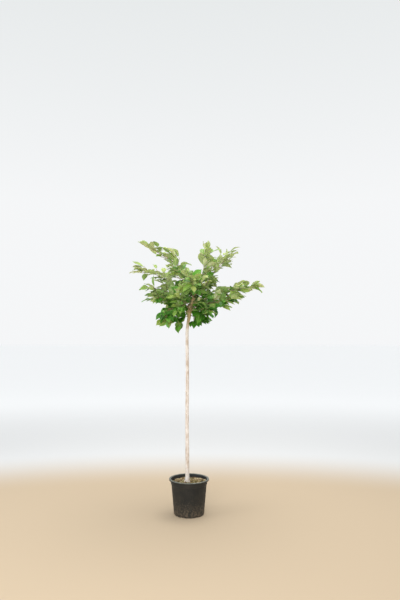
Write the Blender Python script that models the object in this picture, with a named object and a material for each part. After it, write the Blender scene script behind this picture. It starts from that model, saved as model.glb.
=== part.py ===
"""A young flowering cherry in leaf, grown as a half standard in a ten-litre nursery pot.

Metres, +Z up, front towards -Y. The origin is the centre of the pot's flat underside.
"""

import math
import random
from collections import namedtuple

import bmesh
import bpy
from mathutils import Matrix, Vector
from mathutils.bvhtree import BVHTree
from mathutils.geometry import interpolate_bezier

# Clearance between neighbouring solids, and the angle in degrees that counts as a sharp edge.
GAP = 0.0003
SHARP_ANGLE = 38

# Pot, a thin-walled nursery container with a rolled lip.
POT_HEIGHT = 0.232
LIP_RADIUS = 0.130
LIP_THICKNESS = 0.0026
LIP_TURN_DOWN = 0.0095
LIP_ROUNDING = 0.0018
BAND_RADIUS = 0.1200
BAND_FOOT_RADIUS = 0.1182
BAND_HEIGHT = 0.034
BAND_STEP = 0.002
BODY_RADIUS = 0.1150
FOOT_RADIUS = 0.0990
FOOT_ROUNDING = 0.0060
FOOT_ROUNDING_STEPS = 3
WALL = 0.0020
WALL_AT_FOOT = 0.0032
FLOOR = 0.0035
POT_SIDES = 36
DRAIN_COUNT = 6
DRAIN_WIDTH = 0.026
DRAIN_HEIGHT = 0.009
DRAIN_DEPTH = 0.0185

# Potting soil, level round the stem and a little uneven elsewhere.
SOIL_BELOW_RIM = 0.025
SOIL_RINGS = 3
SOIL_UNEVEN = 0.0025
SOIL_LEVEL_RADIUS = 0.042
SOIL_FADE = 0.03
SOIL_WAVES = ((3, 40), (7, 90))

# Stem, whose stations give a height above the soil and a radius, up to the fork.
SOIL_TOP = POT_HEIGHT - SOIL_BELOW_RIM
STEM_FOOT_X = -0.012
STEM_LEAN_START = 1.18
HEAD_HEIGHT = 1.328
HEAD_X = 0.003
FORK_HEIGHT = 1.420
FORK_X = 0.026
STEM_WAVE = 0.0010
STEM_WAVE_LENGTH_X = 0.55
STEM_WAVE_LENGTH_Y = 0.70
STEM_SIDES = 12
STEM_STATIONS = (
    (0.000, 0.0190),
    (0.012, 0.0158),
    (0.035, 0.0136),
    (0.080, 0.0126),
    (0.300, 0.0119),
    (0.600, 0.0112),
    (0.900, 0.0105),
    (1.060, 0.0103),
    (1.095, 0.0128),
    (1.120, 0.0152),
    (1.140, 0.0132),
    (1.158, 0.0092),
    (1.190, 0.0078),
    (1.213, 0.0074),
)
STEM_STEP = 0.065
STEM_ROUND_TOP = ((0.5, 0.84), (0.8, 0.44))
ROOT_FLARE_LOBES = 5
ROOT_FLARE_SHARE = 0.16
ROOT_FLARE_HEIGHT = 0.030
ROOT_FLARE_TURN = 0.6

# Short pruned stubs on the head, each with its height, heading in degrees, length and radius.
STUBS = (
    (1.345, 262, 0.026, 0.0068),
    (1.322, 318, 0.034, 0.0076),
)
STUB_PITCH = 20
STUB_STATIONS = ((0.0, 1.15), (0.5, 1.0), (0.92, 0.96), (1.0, 0.80))

# Boughs.
BOUGH_SIDES = 7
BOUGH_STEP = 0.026
BOUGH_COLLAR = 1.25
BOUGH_COLLAR_LENGTH = 0.032
BOUGH_TIP_RADIUS = 0.0033
PATH_STEPS = 48
PATH_HANDLE = 0.38
PATH_WAVE = 0.006
PATH_WAVE_TURN = 7
PATH_LOOK = 0.002

# Twigs. Each one opens at an angle in degrees, rises a little and bends back along its leader.
STEM_TWIG_SIDES = 4
STEM_TWIG_TIP = 0.0019
TWIG_SIDES = 3
TWIG_BASE = 0.0023
TWIG_TIP = 0.0018
TWIG_OPENING = 48
TWIG_OPENING_SPREAD = 8
TWIG_RISE = 0.30
TWIG_RISE_SPREAD = (-0.4, 1.0)
TWIG_LENGTH_SPREAD = (0.85, 1.15)
TWIG_STRAIGHT = 0.964
TWIG_BEND = 0.18
TWIG_SINK = 0.0003
TWIG_FIRST = 0.10
TWIG_LAST = 0.78
TWIG_LONG = 0.105
TWIG_SHORT = 0.050
TWIG_BARE = 0.022
LEADER_BARE = 0.012
LEADER_STEP = 0.045

# Leaves, in a spiral along their twig. A young one is shorter and lies closer to it.
LEAF_SPACING = 0.029
LEAF_LENGTH = 0.101
LEAF_TURN = 137.5
LEAF_OPENING = 58
LEAF_OPENING_SPREAD = 9
LEAF_OPENING_YOUNG = 0.55
LEAF_RETRY = 40
LEAF_FLATTEN = 0.45
LEAF_FACE_OUT = 0.55
LEAF_SCATTER = 0.70
LEAF_YOUNG = 0.74
LEAF_LENGTH_SPREAD = (0.84, 1.12)
LEAF_DROOP_YOUNG = 0.35
LEAF_DROOP_SPREAD = (0.5, 1.3)
END_LEAF_SPREAD = 0.25
LEAF_SINK = 0.0002
END_LEAF_SINK = 0.0040
LEAF_THICKNESS = 0.018
LEAF_NECK = 0.0008
LEAF_STATIONS = ((0.42, 0.240, 0.02), (0.74, 0.170, 0.0))
LEAF_TIP_FALL = 0.09

# Room that a twig or leaf keeps round itself, from a little way off its root.
GUARD = 0.0008
GUARD_LEAF_START = 0.2
GUARD_LEAF_WIDTH = 1.2
GUARD_TWIG_START = 0.008
TRIES = 8

Shoot = namedtuple(
    "Shoot",
    "name root heading reach rise start end share radius twigs droop room seed",
)

# One row for each leader of the crown. Its root is a height on the stem, its heading is in degrees
# round from +X, its reach and rise end at the leader's tip, and start and end are its slopes there.
# Share is the part of it that is bare bough, and a share of 0 is a tuft that sits on the stem itself.
SHOOTS = (
    Shoot("high_left", 1.420, 190, 0.285, 0.305, 82, 20, 0.30, 0.0046, 4, 0.20, 0.12, 28),
    Shoot("mid_left", 1.392, 160, 0.350, 0.228, 45, 28, 0.30, 0.0044, 4, 0.30, 0.11, 25),
    Shoot("left", 1.338, 178, 0.265, 0.140, 48, 4, 0.26, 0.0046, 3, 0.35, 0.11, 107),
    Shoot("low_left", 1.325, 205, 0.250, 0.095, 38, 0, 0.26, 0.0046, 3, 0.35, 0.11, 238),
    Shoot("front_left", 1.315, 232, 0.295, -0.020, 22, -28, 0.26, 0.0046, 3, 0.50, 0.12, 162),
    Shoot("front_right", 1.312, 295, 0.250, -0.014, 22, -25, 0.26, 0.0046, 3, 0.55, 0.12, 106),
    Shoot("low_right", 1.322, 339, 0.285, 0.060, 28, -6, 0.26, 0.0046, 4, 0.45, 0.12, 78),
    Shoot("right", 1.338, 7, 0.435, 0.150, 38, 8, 0.28, 0.0050, 5, 0.30, 0.11, 65),
    Shoot("high_right", 1.385, 21, 0.275, 0.325, 48, 44, 0.28, 0.0050, 4, 0.25, 0.11, 194),
    Shoot("top", 1.420, 338, 0.100, 0.292, 46, 84, 0.30, 0.0046, 3, 0.20, 0.10, 238),
    Shoot("back_left", 1.404, 112, 0.310, 0.190, 58, 20, 0.30, 0.0044, 4, 0.30, 0.13, 187),
    Shoot("back_right", 1.368, 64, 0.320, 0.180, 52, 16, 0.30, 0.0046, 4, 0.30, 0.13, 45),
    Shoot("back_low_left", 1.330, 132, 0.290, 0.070, 34, 0, 0.28, 0.0046, 3, 0.45, 0.12, 65),
    Shoot("back_low_right", 1.326, 46, 0.290, 0.070, 32, 2, 0.28, 0.0046, 3, 0.45, 0.12, 204),
    Shoot("front_high", 1.400, 272, 0.270, 0.110, 56, 6, 0.30, 0.0042, 4, 0.35, 0.12, 211),
    Shoot("front_low", 1.330, 262, 0.240, 0.035, 30, -10, 0.28, 0.0044, 3, 0.45, 0.12, 197),
    Shoot("tuft_left", 1.288, 215, 0.100, -0.016, 20, -30, 0.0, 0.0024, 0, 1.10, 0.13, 236),
    Shoot("tuft_right", 1.294, 315, 0.100, -0.016, 20, -30, 0.0, 0.0024, 0, 1.10, 0.13, 5),
)


def clear_scene():
    for item in list(bpy.data.objects):
        bpy.data.objects.remove(item, do_unlink=True)


def finish(name, colour, roughness):
    material = bpy.data.materials.new(name)
    material.use_nodes = True
    shader = material.node_tree.nodes["Principled BSDF"]
    shader.inputs["Base Color"].default_value = (*colour, 1.0)
    shader.inputs["Roughness"].default_value = roughness
    shader.inputs["Metallic"].default_value = 0.0
    material.diffuse_color = (*colour, 1.0)
    return material


def add_solid(name, solid, material, smooth=True):
    """An object made from (points, faces), with its faces turned outwards."""
    points, faces = solid
    mesh = bpy.data.meshes.new(name)
    mesh.from_pydata([tuple(point) for point in points], [], faces)
    work = bmesh.new()
    work.from_mesh(mesh)
    bmesh.ops.recalc_face_normals(work, faces=work.faces)
    work.to_mesh(mesh)
    work.free()
    if smooth:
        shade_round(mesh)
    piece = bpy.data.objects.new(name, mesh)
    piece.data.materials.append(material)
    bpy.context.scene.collection.objects.link(piece)
    return piece


def shade_round(mesh):
    mesh.shade_smooth()
    mesh.set_sharp_from_angle(angle=math.radians(SHARP_ANGLE))


def mix(low, high, share):
    return low + (high - low) * share


def smooth_step(share):
    share = min(max(share, 0.0), 1.0)
    return share * share * (3 - 2 * share)


def heading_vector(degrees, pitch=0.0):
    turn = math.radians(degrees)
    rise = math.radians(pitch)
    return Vector((math.cos(turn) * math.cos(rise), math.sin(turn) * math.cos(rise), math.sin(rise)))


# Turned and swept solids.


def turned(profile, sides):
    """A solid of revolution whose profile of (radius, height) starts and ends on the axis."""
    points = [Vector((0, 0, profile[0][1]))]
    faces = []
    rings = []
    for radius, height in profile[1:-1]:
        rings.append(range(len(points), len(points) + sides))
        for side in range(sides):
            turn = math.tau * side / sides
            points.append(Vector((radius * math.cos(turn), radius * math.sin(turn), height)))
    points.append(Vector((0, 0, profile[-1][1])))
    for side in range(sides):
        following = (side + 1) % sides
        faces.append((0, rings[0][side], rings[0][following]))
        faces.append((len(points) - 1, rings[-1][following], rings[-1][side]))
        for lower, upper in zip(rings, rings[1:]):
            faces.append((lower[side], lower[following], upper[following], upper[side]))
    return points, faces


def frames_along(points, first=None, last=None):
    """A tangent and a side direction at each point, turned no more than the path needs."""
    tangents = []
    for index in range(len(points)):
        before = points[max(index - 1, 0)]
        after = points[min(index + 1, len(points) - 1)]
        tangents.append((after - before).normalized())
    tangents[0] = first or tangents[0]
    tangents[-1] = last or tangents[-1]
    side = tangents[0].orthogonal().normalized()
    frames = []
    for tangent in tangents:
        side = (side - tangent * side.dot(tangent)).normalized()
        frames.append((tangent, side))
    return frames


def swept(points, radii, sides, shape=None, first=None, last=None):
    """A closed tube along points, whose ends face first and last.

    Shape gives each ring point's share of its radius.
    """
    solid_points = []
    faces = []
    for index, (tangent, side) in enumerate(frames_along(points, first, last)):
        other = tangent.cross(side)
        for step in range(sides):
            turn = math.tau * step / sides
            radius = radii[index] * (shape(index, turn) if shape else 1.0)
            offset = side * math.cos(turn) + other * math.sin(turn)
            solid_points.append(points[index] + offset * radius)
    for ring in range(len(points) - 1):
        for step in range(sides):
            following = (step + 1) % sides
            low = ring * sides
            high = low + sides
            faces.append((low + step, low + following, high + following, high + step))
    faces.append(tuple(reversed(range(sides))))
    faces.append(tuple(range(len(solid_points) - sides, len(solid_points))))
    return solid_points, faces


def cut(target, cutter_solid):
    """Cuts a solid out of an object and applies the cut, keeping the largest body left."""
    cutter = add_solid("cutter", cutter_solid, target.data.materials[0], smooth=False)
    join_by_boolean(target, "DIFFERENCE", [cutter])


def join_by_boolean(target, operation, others):
    """Applies one Boolean of a collection of objects to the target, and removes them."""
    group = bpy.data.collections.new("operands")
    bpy.context.scene.collection.children.link(group)
    for other in others:
        bpy.context.scene.collection.objects.unlink(other)
        group.objects.link(other)
    modifier = target.modifiers.new("Boolean", "BOOLEAN")
    modifier.operation = operation
    modifier.operand_type = "COLLECTION"
    modifier.collection = group
    graph = bpy.context.evaluated_depsgraph_get()
    result = bpy.data.meshes.new_from_object(target.evaluated_get(graph))
    target.modifiers.remove(modifier)
    target.data = result
    keep_largest(result)
    for other in others:
        bpy.data.objects.remove(other, do_unlink=True)
    bpy.data.collections.remove(group)


def keep_largest(mesh):
    """Drops every loose scrap, and the skin of any hollow that fusing sealed."""
    work = bmesh.new()
    work.from_mesh(mesh)
    waiting = set(work.faces)
    bodies = []
    while waiting:
        body = [waiting.pop()]
        for face in body:
            for edge in face.edges:
                for neighbour in edge.link_faces:
                    if neighbour in waiting:
                        waiting.remove(neighbour)
                        body.append(neighbour)
        bodies.append(body)
    bodies.sort(key=lambda body: sum(face.calc_area() for face in body))
    scraps = [face for body in bodies[:-1] for face in body]
    bmesh.ops.delete(work, geom=scraps, context="FACES")
    work.to_mesh(mesh)
    work.free()


# Pot and soil.


def pot_outside():
    """Radius and height from the centre of the underside to the outer edge of the lip's top."""
    profile = [(0.0, 0.0)]
    for step in range(FOOT_ROUNDING_STEPS + 1):
        turn = math.pi / 2 * (step / FOOT_ROUNDING_STEPS - 1)
        radius = FOOT_RADIUS - FOOT_ROUNDING * (1 - math.cos(turn))
        profile.append((radius, FOOT_ROUNDING * (1 + math.sin(turn))))
    band_foot = POT_HEIGHT - BAND_HEIGHT
    under_lip = POT_HEIGHT - LIP_THICKNESS
    hook = LIP_RADIUS - LIP_THICKNESS
    profile += [
        (BODY_RADIUS, band_foot - BAND_STEP),
        (BAND_FOOT_RADIUS, band_foot),
        (BAND_RADIUS, under_lip),
        (hook, under_lip),
        (hook, POT_HEIGHT - LIP_TURN_DOWN),
        (LIP_RADIUS, POT_HEIGHT - LIP_TURN_DOWN),
        (LIP_RADIUS, POT_HEIGHT - LIP_ROUNDING),
        (LIP_RADIUS - LIP_ROUNDING, POT_HEIGHT),
    ]
    return profile


def pot_inside():
    """Radius and height from the inner edge of the lip down to the centre of the floor."""
    band_foot = POT_HEIGHT - BAND_HEIGHT
    return [
        (BAND_RADIUS - WALL, POT_HEIGHT),
        (BAND_FOOT_RADIUS - WALL, band_foot + WALL),
        (BODY_RADIUS - WALL, band_foot - BAND_STEP + WALL),
        (FOOT_RADIUS - WALL_AT_FOOT, FLOOR + FOOT_ROUNDING),
        (FOOT_RADIUS - WALL - FOOT_ROUNDING, FLOOR),
        (0.0, FLOOR),
    ]


def box_solid(size, place):
    """A box of this size about the origin of the matrix."""
    corners = [(x, y, z) for x in (-0.5, 0.5) for y in (-0.5, 0.5) for z in (-0.5, 0.5)]
    points = [place @ Vector((x * size[0], y * size[1], z * size[2])) for x, y, z in corners]
    faces = [(0, 1, 3, 2), (4, 6, 7, 5), (0, 4, 5, 1), (2, 3, 7, 6), (0, 2, 6, 4), (1, 5, 7, 3)]
    return points, faces


def build_pot(material):
    pot = add_solid("pot", turned(pot_outside() + pot_inside(), POT_SIDES), material)
    notches = []
    for index in range(DRAIN_COUNT):
        turn = Matrix.Rotation(math.tau * index / DRAIN_COUNT, 4, "Z")
        place = turn @ Matrix.Translation((FOOT_RADIUS, 0, 0))
        box = box_solid((DRAIN_DEPTH, DRAIN_WIDTH, DRAIN_HEIGHT * 2), place)
        notches.append(add_solid("notch", box, material, smooth=False))
    join_by_boolean(pot, "DIFFERENCE", notches)
    shade_round(pot.data)
    return pot


def soil_top(radius, turn):
    """Height of the soil's surface, which is level round the stem's foot."""
    bumps = sum(math.sin(around * turn + outward * radius) for around, outward in SOIL_WAVES)
    away = smooth_step((radius - SOIL_LEVEL_RADIUS) / SOIL_FADE)
    return SOIL_TOP + SOIL_UNEVEN * bumps / len(SOIL_WAVES) * away


def build_soil(material):
    walls = list(reversed(pot_inside()))[1:-1]
    profile = [(0.0, FLOOR + GAP)]
    profile += [(radius - GAP, height + GAP * 0.5) for radius, height in walls]
    profile[1] = (profile[1][0], FLOOR + GAP)
    band_slope = (BAND_RADIUS - BAND_FOOT_RADIUS) / BAND_HEIGHT
    wall_radius = profile[-1][0] + band_slope * (SOIL_TOP - profile[-1][1])
    first_top_ring = len(profile)
    for ring in range(SOIL_RINGS):
        profile.append((wall_radius * (1 - ring / SOIL_RINGS), SOIL_TOP))
    profile.append((0.0, SOIL_TOP))
    points, faces = turned(profile, POT_SIDES)
    for index, point in enumerate(points):
        ring = 1 + (index - 1) // POT_SIDES
        if ring >= first_top_ring:
            point.z = soil_top(point.xy.length, math.atan2(point.y, point.x))
    return add_solid("soil", (points, faces), material)


# Stem and boughs.


def stem_axis(height):
    """The stem's centre at a height: a clear stem, a slight crook into the head, and the leader."""
    crook = smooth_step((height - STEM_LEAN_START) / (HEAD_HEIGHT - STEM_LEAN_START))
    leader = smooth_step((height - HEAD_HEIGHT) / (FORK_HEIGHT - HEAD_HEIGHT))
    along = height - SOIL_TOP
    x = mix(STEM_FOOT_X, HEAD_X, crook) + (FORK_X - HEAD_X) * leader
    x += STEM_WAVE * math.sin(math.tau * along / STEM_WAVE_LENGTH_X)
    y = STEM_WAVE * math.sin(math.tau * along / STEM_WAVE_LENGTH_Y)
    return Vector((x, y, height))


def stem_radius(height):
    above = height - SOIL_TOP
    for (low, low_radius), (high, high_radius) in zip(STEM_STATIONS, STEM_STATIONS[1:]):
        if above <= high:
            return mix(low_radius, high_radius, max(above - low, 0.0) / (high - low))
    return STEM_STATIONS[-1][1]


def stem_heights():
    """Ring heights: every station, with even steps between those that lie far apart."""
    heights = []
    for (low, _), (high, _) in zip(STEM_STATIONS, STEM_STATIONS[1:]):
        steps = max(1, round((high - low) / STEM_STEP))
        heights += [mix(low, high, step / steps) for step in range(steps)]
    heights.append(STEM_STATIONS[-1][0])
    return [SOIL_TOP + GAP + above for above in heights]


def stem_solid(extra=0.0):
    """The whole stem with its lobed root flare and rounded top, stouter all round by extra."""
    heights = stem_heights()

    def flare(index, turn):
        fade = max(0.0, 1 - (heights[index] - SOIL_TOP) / ROOT_FLARE_HEIGHT)
        return 1 + ROOT_FLARE_SHARE * fade * math.cos(ROOT_FLARE_LOBES * turn + ROOT_FLARE_TURN)

    points = [stem_axis(height) for height in heights]
    radii = [stem_radius(height) + extra for height in heights]
    fork, fork_radius = points[-1], radii[-1]
    for rise, share in STEM_ROUND_TOP:
        points.append(fork + Vector((0, 0, fork_radius * rise)))
        heights.append(points[-1].z)
        radii.append(fork_radius * share)
    return swept(points, radii, STEM_SIDES, flare)


def stub_solid(height, heading, length, radius):
    start = stem_axis(height)
    run = heading_vector(heading, STUB_PITCH)
    points = [start + run * length * along for along, _ in STUB_STATIONS]
    return swept(points, [radius * share for _, share in STUB_STATIONS], BOUGH_SIDES)


def build_stem(material):
    stem = add_solid("trunk", stem_solid(), material)
    stubs = [add_solid("stub", stub_solid(*stub), material) for stub in STUBS]
    join_by_boolean(stem, "UNION", stubs)
    shade_round(stem.data)
    return stem


def shoot_path(shoot):
    """Evenly spaced points from the stem's axis to the tip of the shoot's leader."""
    start = stem_axis(shoot.root)
    tip = start + heading_vector(shoot.heading) * shoot.reach + Vector((0, 0, shoot.rise))
    handle = (tip - start).length * PATH_HANDLE
    out = start + heading_vector(shoot.heading, shoot.start) * handle
    back = tip - heading_vector(shoot.heading, shoot.end) * handle
    curve = interpolate_bezier(start, out, back, tip, PATH_STEPS)
    side = heading_vector(shoot.heading + 90)
    phase = math.radians(shoot.heading * 5)
    for index, point in enumerate(curve):
        share = index / (PATH_STEPS - 1)
        swell = 4 * share * (1 - share)
        curve[index] = point + side * PATH_WAVE * swell * math.sin(phase + PATH_WAVE_TURN * share)
    return curve


def length_of(points):
    return sum((after - before).length for before, after in zip(points, points[1:]))


def stretch(points, start, end, step):
    """Points every step or so along a path, between two lengths from its beginning."""
    count = max(2, round((end - start) / step) + 1)
    wanted = [mix(start, end, index / (count - 1)) for index in range(count)]
    found = []
    walked = 0.0
    for before, after in zip(points, points[1:]):
        piece = (after - before).length
        while wanted and wanted[0] <= walked + piece + 1e-9:
            found.append(before.lerp(after, (wanted.pop(0) - walked) / piece))
        walked += piece
    found += [points[-1]] * len(wanted)
    return found


def direction_at(path, distance):
    """The way a path runs at this length from its beginning."""
    before, after = stretch(path, distance - PATH_LOOK, distance + PATH_LOOK, 2 * PATH_LOOK)
    return (after - before).normalized()


def bough_solid(shoot, extra=0.0):
    """One tapering limb from the stem's axis to where its leader takes over, with a collar at its foot."""
    path = shoot_path(shoot)
    total = length_of(path)
    end = total * shoot.share
    points = stretch(path, 0.0, end, BOUGH_STEP)
    radii = []
    for index in range(len(points)):
        share = index / (len(points) - 1)
        radius = mix(shoot.radius, BOUGH_TIP_RADIUS, share)
        collar = max(0.0, 1 - share * end / BOUGH_COLLAR_LENGTH)
        radii.append(radius * mix(1.0, BOUGH_COLLAR, collar) + extra)
    return swept(points, radii, BOUGH_SIDES, last=direction_at(path, end))


def tree_of(solid):
    return BVHTree.FromPolygons(solid[0], solid[1])


def touches(solid, other):
    return bool(tree_of(solid).overlap(tree_of(other)))


def build_boughs(material):
    """Every bough, cut clear of the stem, of its stubs and of the boughs that were there before it."""
    boughs = []
    placed = []
    for shoot in SHOOTS:
        if shoot.share == 0.0:
            continue
        solid = bough_solid(shoot)
        bough = add_solid("bough_" + shoot.name, solid, material)
        cut(bough, stem_solid(GAP))
        neighbours = [stub_solid(height, heading, length + GAP, radius + GAP)
                      for height, heading, length, radius in STUBS]
        neighbours += [bough_solid(other, GAP) for other in placed]
        for neighbour in neighbours:
            if touches(solid, neighbour):
                cut(bough, neighbour)
        shade_round(bough.data)
        placed.append(shoot)
        boughs.append(bough)
    return boughs


# Foliage.


def leaf_solid(root, along, up, length, width=1.0, extra=0.0):
    """A blade of three-cornered sections between an upright root edge and a point."""
    side = along.cross(up).normalized()
    up = side.cross(along).normalized()
    points = [root + up * (LEAF_NECK + extra), root - up * (LEAF_NECK + extra)]
    for distance, half_width, lift in LEAF_STATIONS:
        centre = root + along * distance * length + up * (lift * length + extra)
        half = half_width * width * length + extra
        points.append(centre + side * half)
        points.append(centre - side * half)
        points.append(centre - up * (LEAF_THICKNESS * length + 2 * extra))
    points.append(root + along * (length + extra) - up * LEAF_TIP_FALL * length)
    faces = [(0, 2, 3), (0, 1, 2), (1, 4, 2), (0, 3, 1), (1, 3, 4)]
    for step in range(3):
        following = (step + 1) % 3
        faces.append((2 + step, 2 + following, 5 + following))
        faces.append((2 + step, 5 + following, 5 + step))
        faces.append((5 + step, 5 + following, 8))
    return points, faces


class Room:
    """The solids placed so far, which no new twig or leaf may touch."""

    def __init__(self):
        self.taken = []

    def add(self, solid, owner):
        centre = sum(solid[0], Vector()) / len(solid[0])
        radius = max((point - centre).length for point in solid[0])
        self.taken.append((centre, radius, tree_of(solid), owner))

    def free(self, solid, beside):
        """True where the solid touches nothing but the pieces that it grows on."""
        centre = sum(solid[0], Vector()) / len(solid[0])
        radius = max((point - centre).length for point in solid[0])
        tree = tree_of(solid)
        for other_centre, other_radius, other_tree, owner in self.taken:
            if owner in beside or (other_centre - centre).length > radius + other_radius:
                continue
            if tree.overlap(other_tree):
                return False
        return True


def off_line(point, line):
    return min((point - other).length for other in line)


def tilted_up(spot, rng):
    """Which way a leaf's upper face looks: up, out from the crown's middle, and a little at random."""
    away = Vector((spot.x, spot.y, 0)).normalized()
    scatter = Vector([rng.uniform(-LEAF_SCATTER, LEAF_SCATTER) for _ in range(3)])
    return Vector((0, 0, 1)) + away * LEAF_FACE_OUT + scatter


def side_leaf(spot, tangent, side, turn, shoot, age, rng):
    """Root, direction, up vector and length of a leaf on the side of a twig."""
    out = Matrix.Rotation(turn, 3, tangent) @ side
    out.z *= LEAF_FLATTEN
    opening = LEAF_OPENING * mix(LEAF_OPENING_YOUNG, 1.0, age)
    opening = math.radians(opening + rng.uniform(-LEAF_OPENING_SPREAD, LEAF_OPENING_SPREAD))
    along = tangent * math.cos(opening) + out.normalized() * math.sin(opening)
    along.z -= shoot.droop * mix(LEAF_DROOP_YOUNG, 1.0, age) * rng.uniform(*LEAF_DROOP_SPREAD)
    along.normalize()
    length = LEAF_LENGTH * mix(LEAF_YOUNG, 1.0, age) * rng.uniform(*LEAF_LENGTH_SPREAD)
    return spot - along * LEAF_SINK, along, tilted_up(spot, rng), length


def end_leaf(spot, tangent, rng):
    """The youngest leaf, which carries its twig's line on."""
    along = tangent + Vector([rng.uniform(-END_LEAF_SPREAD, END_LEAF_SPREAD) for _ in range(3)])
    along.normalize()
    length = LEAF_LENGTH * LEAF_YOUNG + END_LEAF_SINK
    return spot - tangent * END_LEAF_SINK, along, tilted_up(spot, rng), length


def put_leaves(points, first, shoot, beside, room, leader, rng):
    """Leaves along one twig in a spiral, and one at its tip. A leaf that finds no room is skipped."""
    total = length_of(points)
    count = max(1, round((total - first) / LEAF_SPACING))
    frames = frames_along(points)
    turn = rng.uniform(0, math.tau)
    leaves = []
    for number in range(count + 1):
        distance = mix(first, total, number / count)
        tangent, side = frames[round(distance / total * (len(points) - 1))]
        spot = stretch(points, distance, total, total)[0]
        age = 1 - number / count
        turn += math.radians(LEAF_TURN)
        for _ in range(TRIES):
            if number == count:
                leaf = end_leaf(spot, tangent, rng)
            else:
                leaf = side_leaf(spot, tangent, side, turn, shoot, age, rng)
            root, along, up, length = leaf
            bare = along * length * GUARD_LEAF_START
            rest = length * (1 - GUARD_LEAF_START)
            guard = leaf_solid(root + bare, along, up, rest, GUARD_LEAF_WIDTH, GUARD)
            solid = leaf_solid(*leaf)
            inside = off_line(root + along * length, leader) < shoot.room
            if inside and room.free(guard, beside) and room.free(solid, beside):
                room.add(solid, shoot.name)
                leaves.append(leaf)
                break
            turn += math.radians(LEAF_RETRY)
    return leaves


def leader_of(shoot):
    """The leader's points, radii and first direction, from its bough's tip or the stem to its own tip."""
    path = shoot_path(shoot)
    total = length_of(path)
    start = total * shoot.share + GAP
    base = BOUGH_TIP_RADIUS
    if shoot.share == 0.0:
        start = stem_radius(shoot.root) / 2
        base = shoot.radius
    points = stretch(path, start, total, LEADER_STEP)
    radii = [mix(base, STEM_TWIG_TIP, index / (len(points) - 1)) for index in range(len(points))]
    return points, radii, direction_at(path, total * shoot.share or start)


def side_twig(leader, share, turn, rng):
    """Three points of a short twig that leaves the leader at this share of its length."""
    run = length_of(leader)
    spot = stretch(leader, run * share, run, run)[0]
    tangent, side = frames_along(leader)[round(share * (len(leader) - 1))]
    out = Matrix.Rotation(turn, 3, tangent) @ side
    out.z *= LEAF_FLATTEN
    opening = math.radians(TWIG_OPENING + rng.uniform(-TWIG_OPENING_SPREAD, TWIG_OPENING_SPREAD))
    along = tangent * math.cos(opening) + out.normalized() * math.sin(opening)
    along.z += TWIG_RISE * rng.uniform(*TWIG_RISE_SPREAD)
    along.normalize()
    length = mix(TWIG_LONG, TWIG_SHORT, share) * rng.uniform(*TWIG_LENGTH_SPREAD)
    start = spot - along * TWIG_SINK
    tip = spot + (along * TWIG_STRAIGHT + tangent * TWIG_BEND) * length
    return [start, spot + along * length / 2, tip]


def grow(shoot, room):
    """One mass: the solids of its leader and side twigs, and the places of all their leaves."""
    rng = random.Random(shoot.seed)
    leader, radii, first = leader_of(shoot)
    twigs = [swept(leader, radii, STEM_TWIG_SIDES, first=first)]
    leader_name = shoot.name + " leader"
    leaves = []
    turn = rng.uniform(0, math.tau)
    for number in range(shoot.twigs):
        share = mix(TWIG_FIRST, TWIG_LAST, number / max(1, shoot.twigs - 1))
        for _ in range(TRIES):
            turn += math.radians(LEAF_TURN)
            points = side_twig(leader, share, turn, rng)
            away = (points[1] - points[0]).normalized() * GUARD_TWIG_START
            guard = swept([points[0] + away, *points[1:]], [TWIG_BASE + GUARD] * 3, TWIG_SIDES)
            twig = swept(points, [TWIG_BASE, (TWIG_BASE + TWIG_TIP) / 2, TWIG_TIP], TWIG_SIDES)
            inside = off_line(points[-1], leader) < shoot.room
            if inside and room.free(guard, (leader_name,)) and room.free(twig, (leader_name,)):
                name = shoot.name + " twig " + str(number)
                room.add(twig, name)
                twigs.append(twig)
                beside = (name, leader_name)
                leaves += put_leaves(points, TWIG_BARE, shoot, beside, room, leader, rng)
                break
    leaves += put_leaves(leader, LEADER_BARE, shoot, (leader_name,), room, leader, rng)
    return twigs, leaves


def room_among_limbs():
    """The room before any leaf grows: stem, boughs and leaders are there, a little stouter than real."""
    room = Room()
    room.add(stem_solid(GUARD), "stem")
    for height, heading, length, radius in STUBS:
        room.add(stub_solid(height, heading, length + GUARD, radius + GUARD), "stem")
    for shoot in SHOOTS:
        if shoot.share:
            room.add(bough_solid(shoot, GUARD), "bough")
        leader, radii, first = leader_of(shoot)
        stouter = [radius + GUARD for radius in radii]
        room.add(swept(leader, stouter, STEM_TWIG_SIDES, first=first), shoot.name + " leader")
    return room


def build_masses(material):
    room = room_among_limbs()
    masses = []
    for shoot in SHOOTS:
        twigs, leaves = grow(shoot, room)
        name = "foliage_" + shoot.name
        host = add_solid(name, twigs[0], material)
        if shoot.share == 0.0:
            cut(host, stem_solid(GAP))
        others = [add_solid("piece", twig, material, smooth=False) for twig in twigs[1:]]
        others += [add_solid("piece", leaf_solid(*leaf), material, smooth=False) for leaf in leaves]
        join_by_boolean(host, "UNION", others)
        masses.append(host)
    return masses


def main():
    clear_scene()
    plastic = finish("dark_grey_plastic", (0.045, 0.045, 0.043), 0.55)
    earth = finish("wood_mulch", (0.30, 0.21, 0.10), 0.95)
    bark = finish("pale_bark", (0.46, 0.35, 0.25), 0.75)
    leafage = finish("green_leaf", (0.11, 0.26, 0.04), 0.45)
    build_pot(plastic)
    build_soil(earth)
    build_stem(bark)
    build_boughs(bark)
    build_masses(leafage)


if __name__ == "__main__":
    main()
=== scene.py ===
# %% [markdown]
# A young flowering cherry in leaf, grown on one clear stem in a round nursery pot.
# This lesson dresses a plain model of it. The plain model gives every limb and mass its real size
# and place, and the cells below give each one its surface. Nothing in the model is moved.

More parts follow.
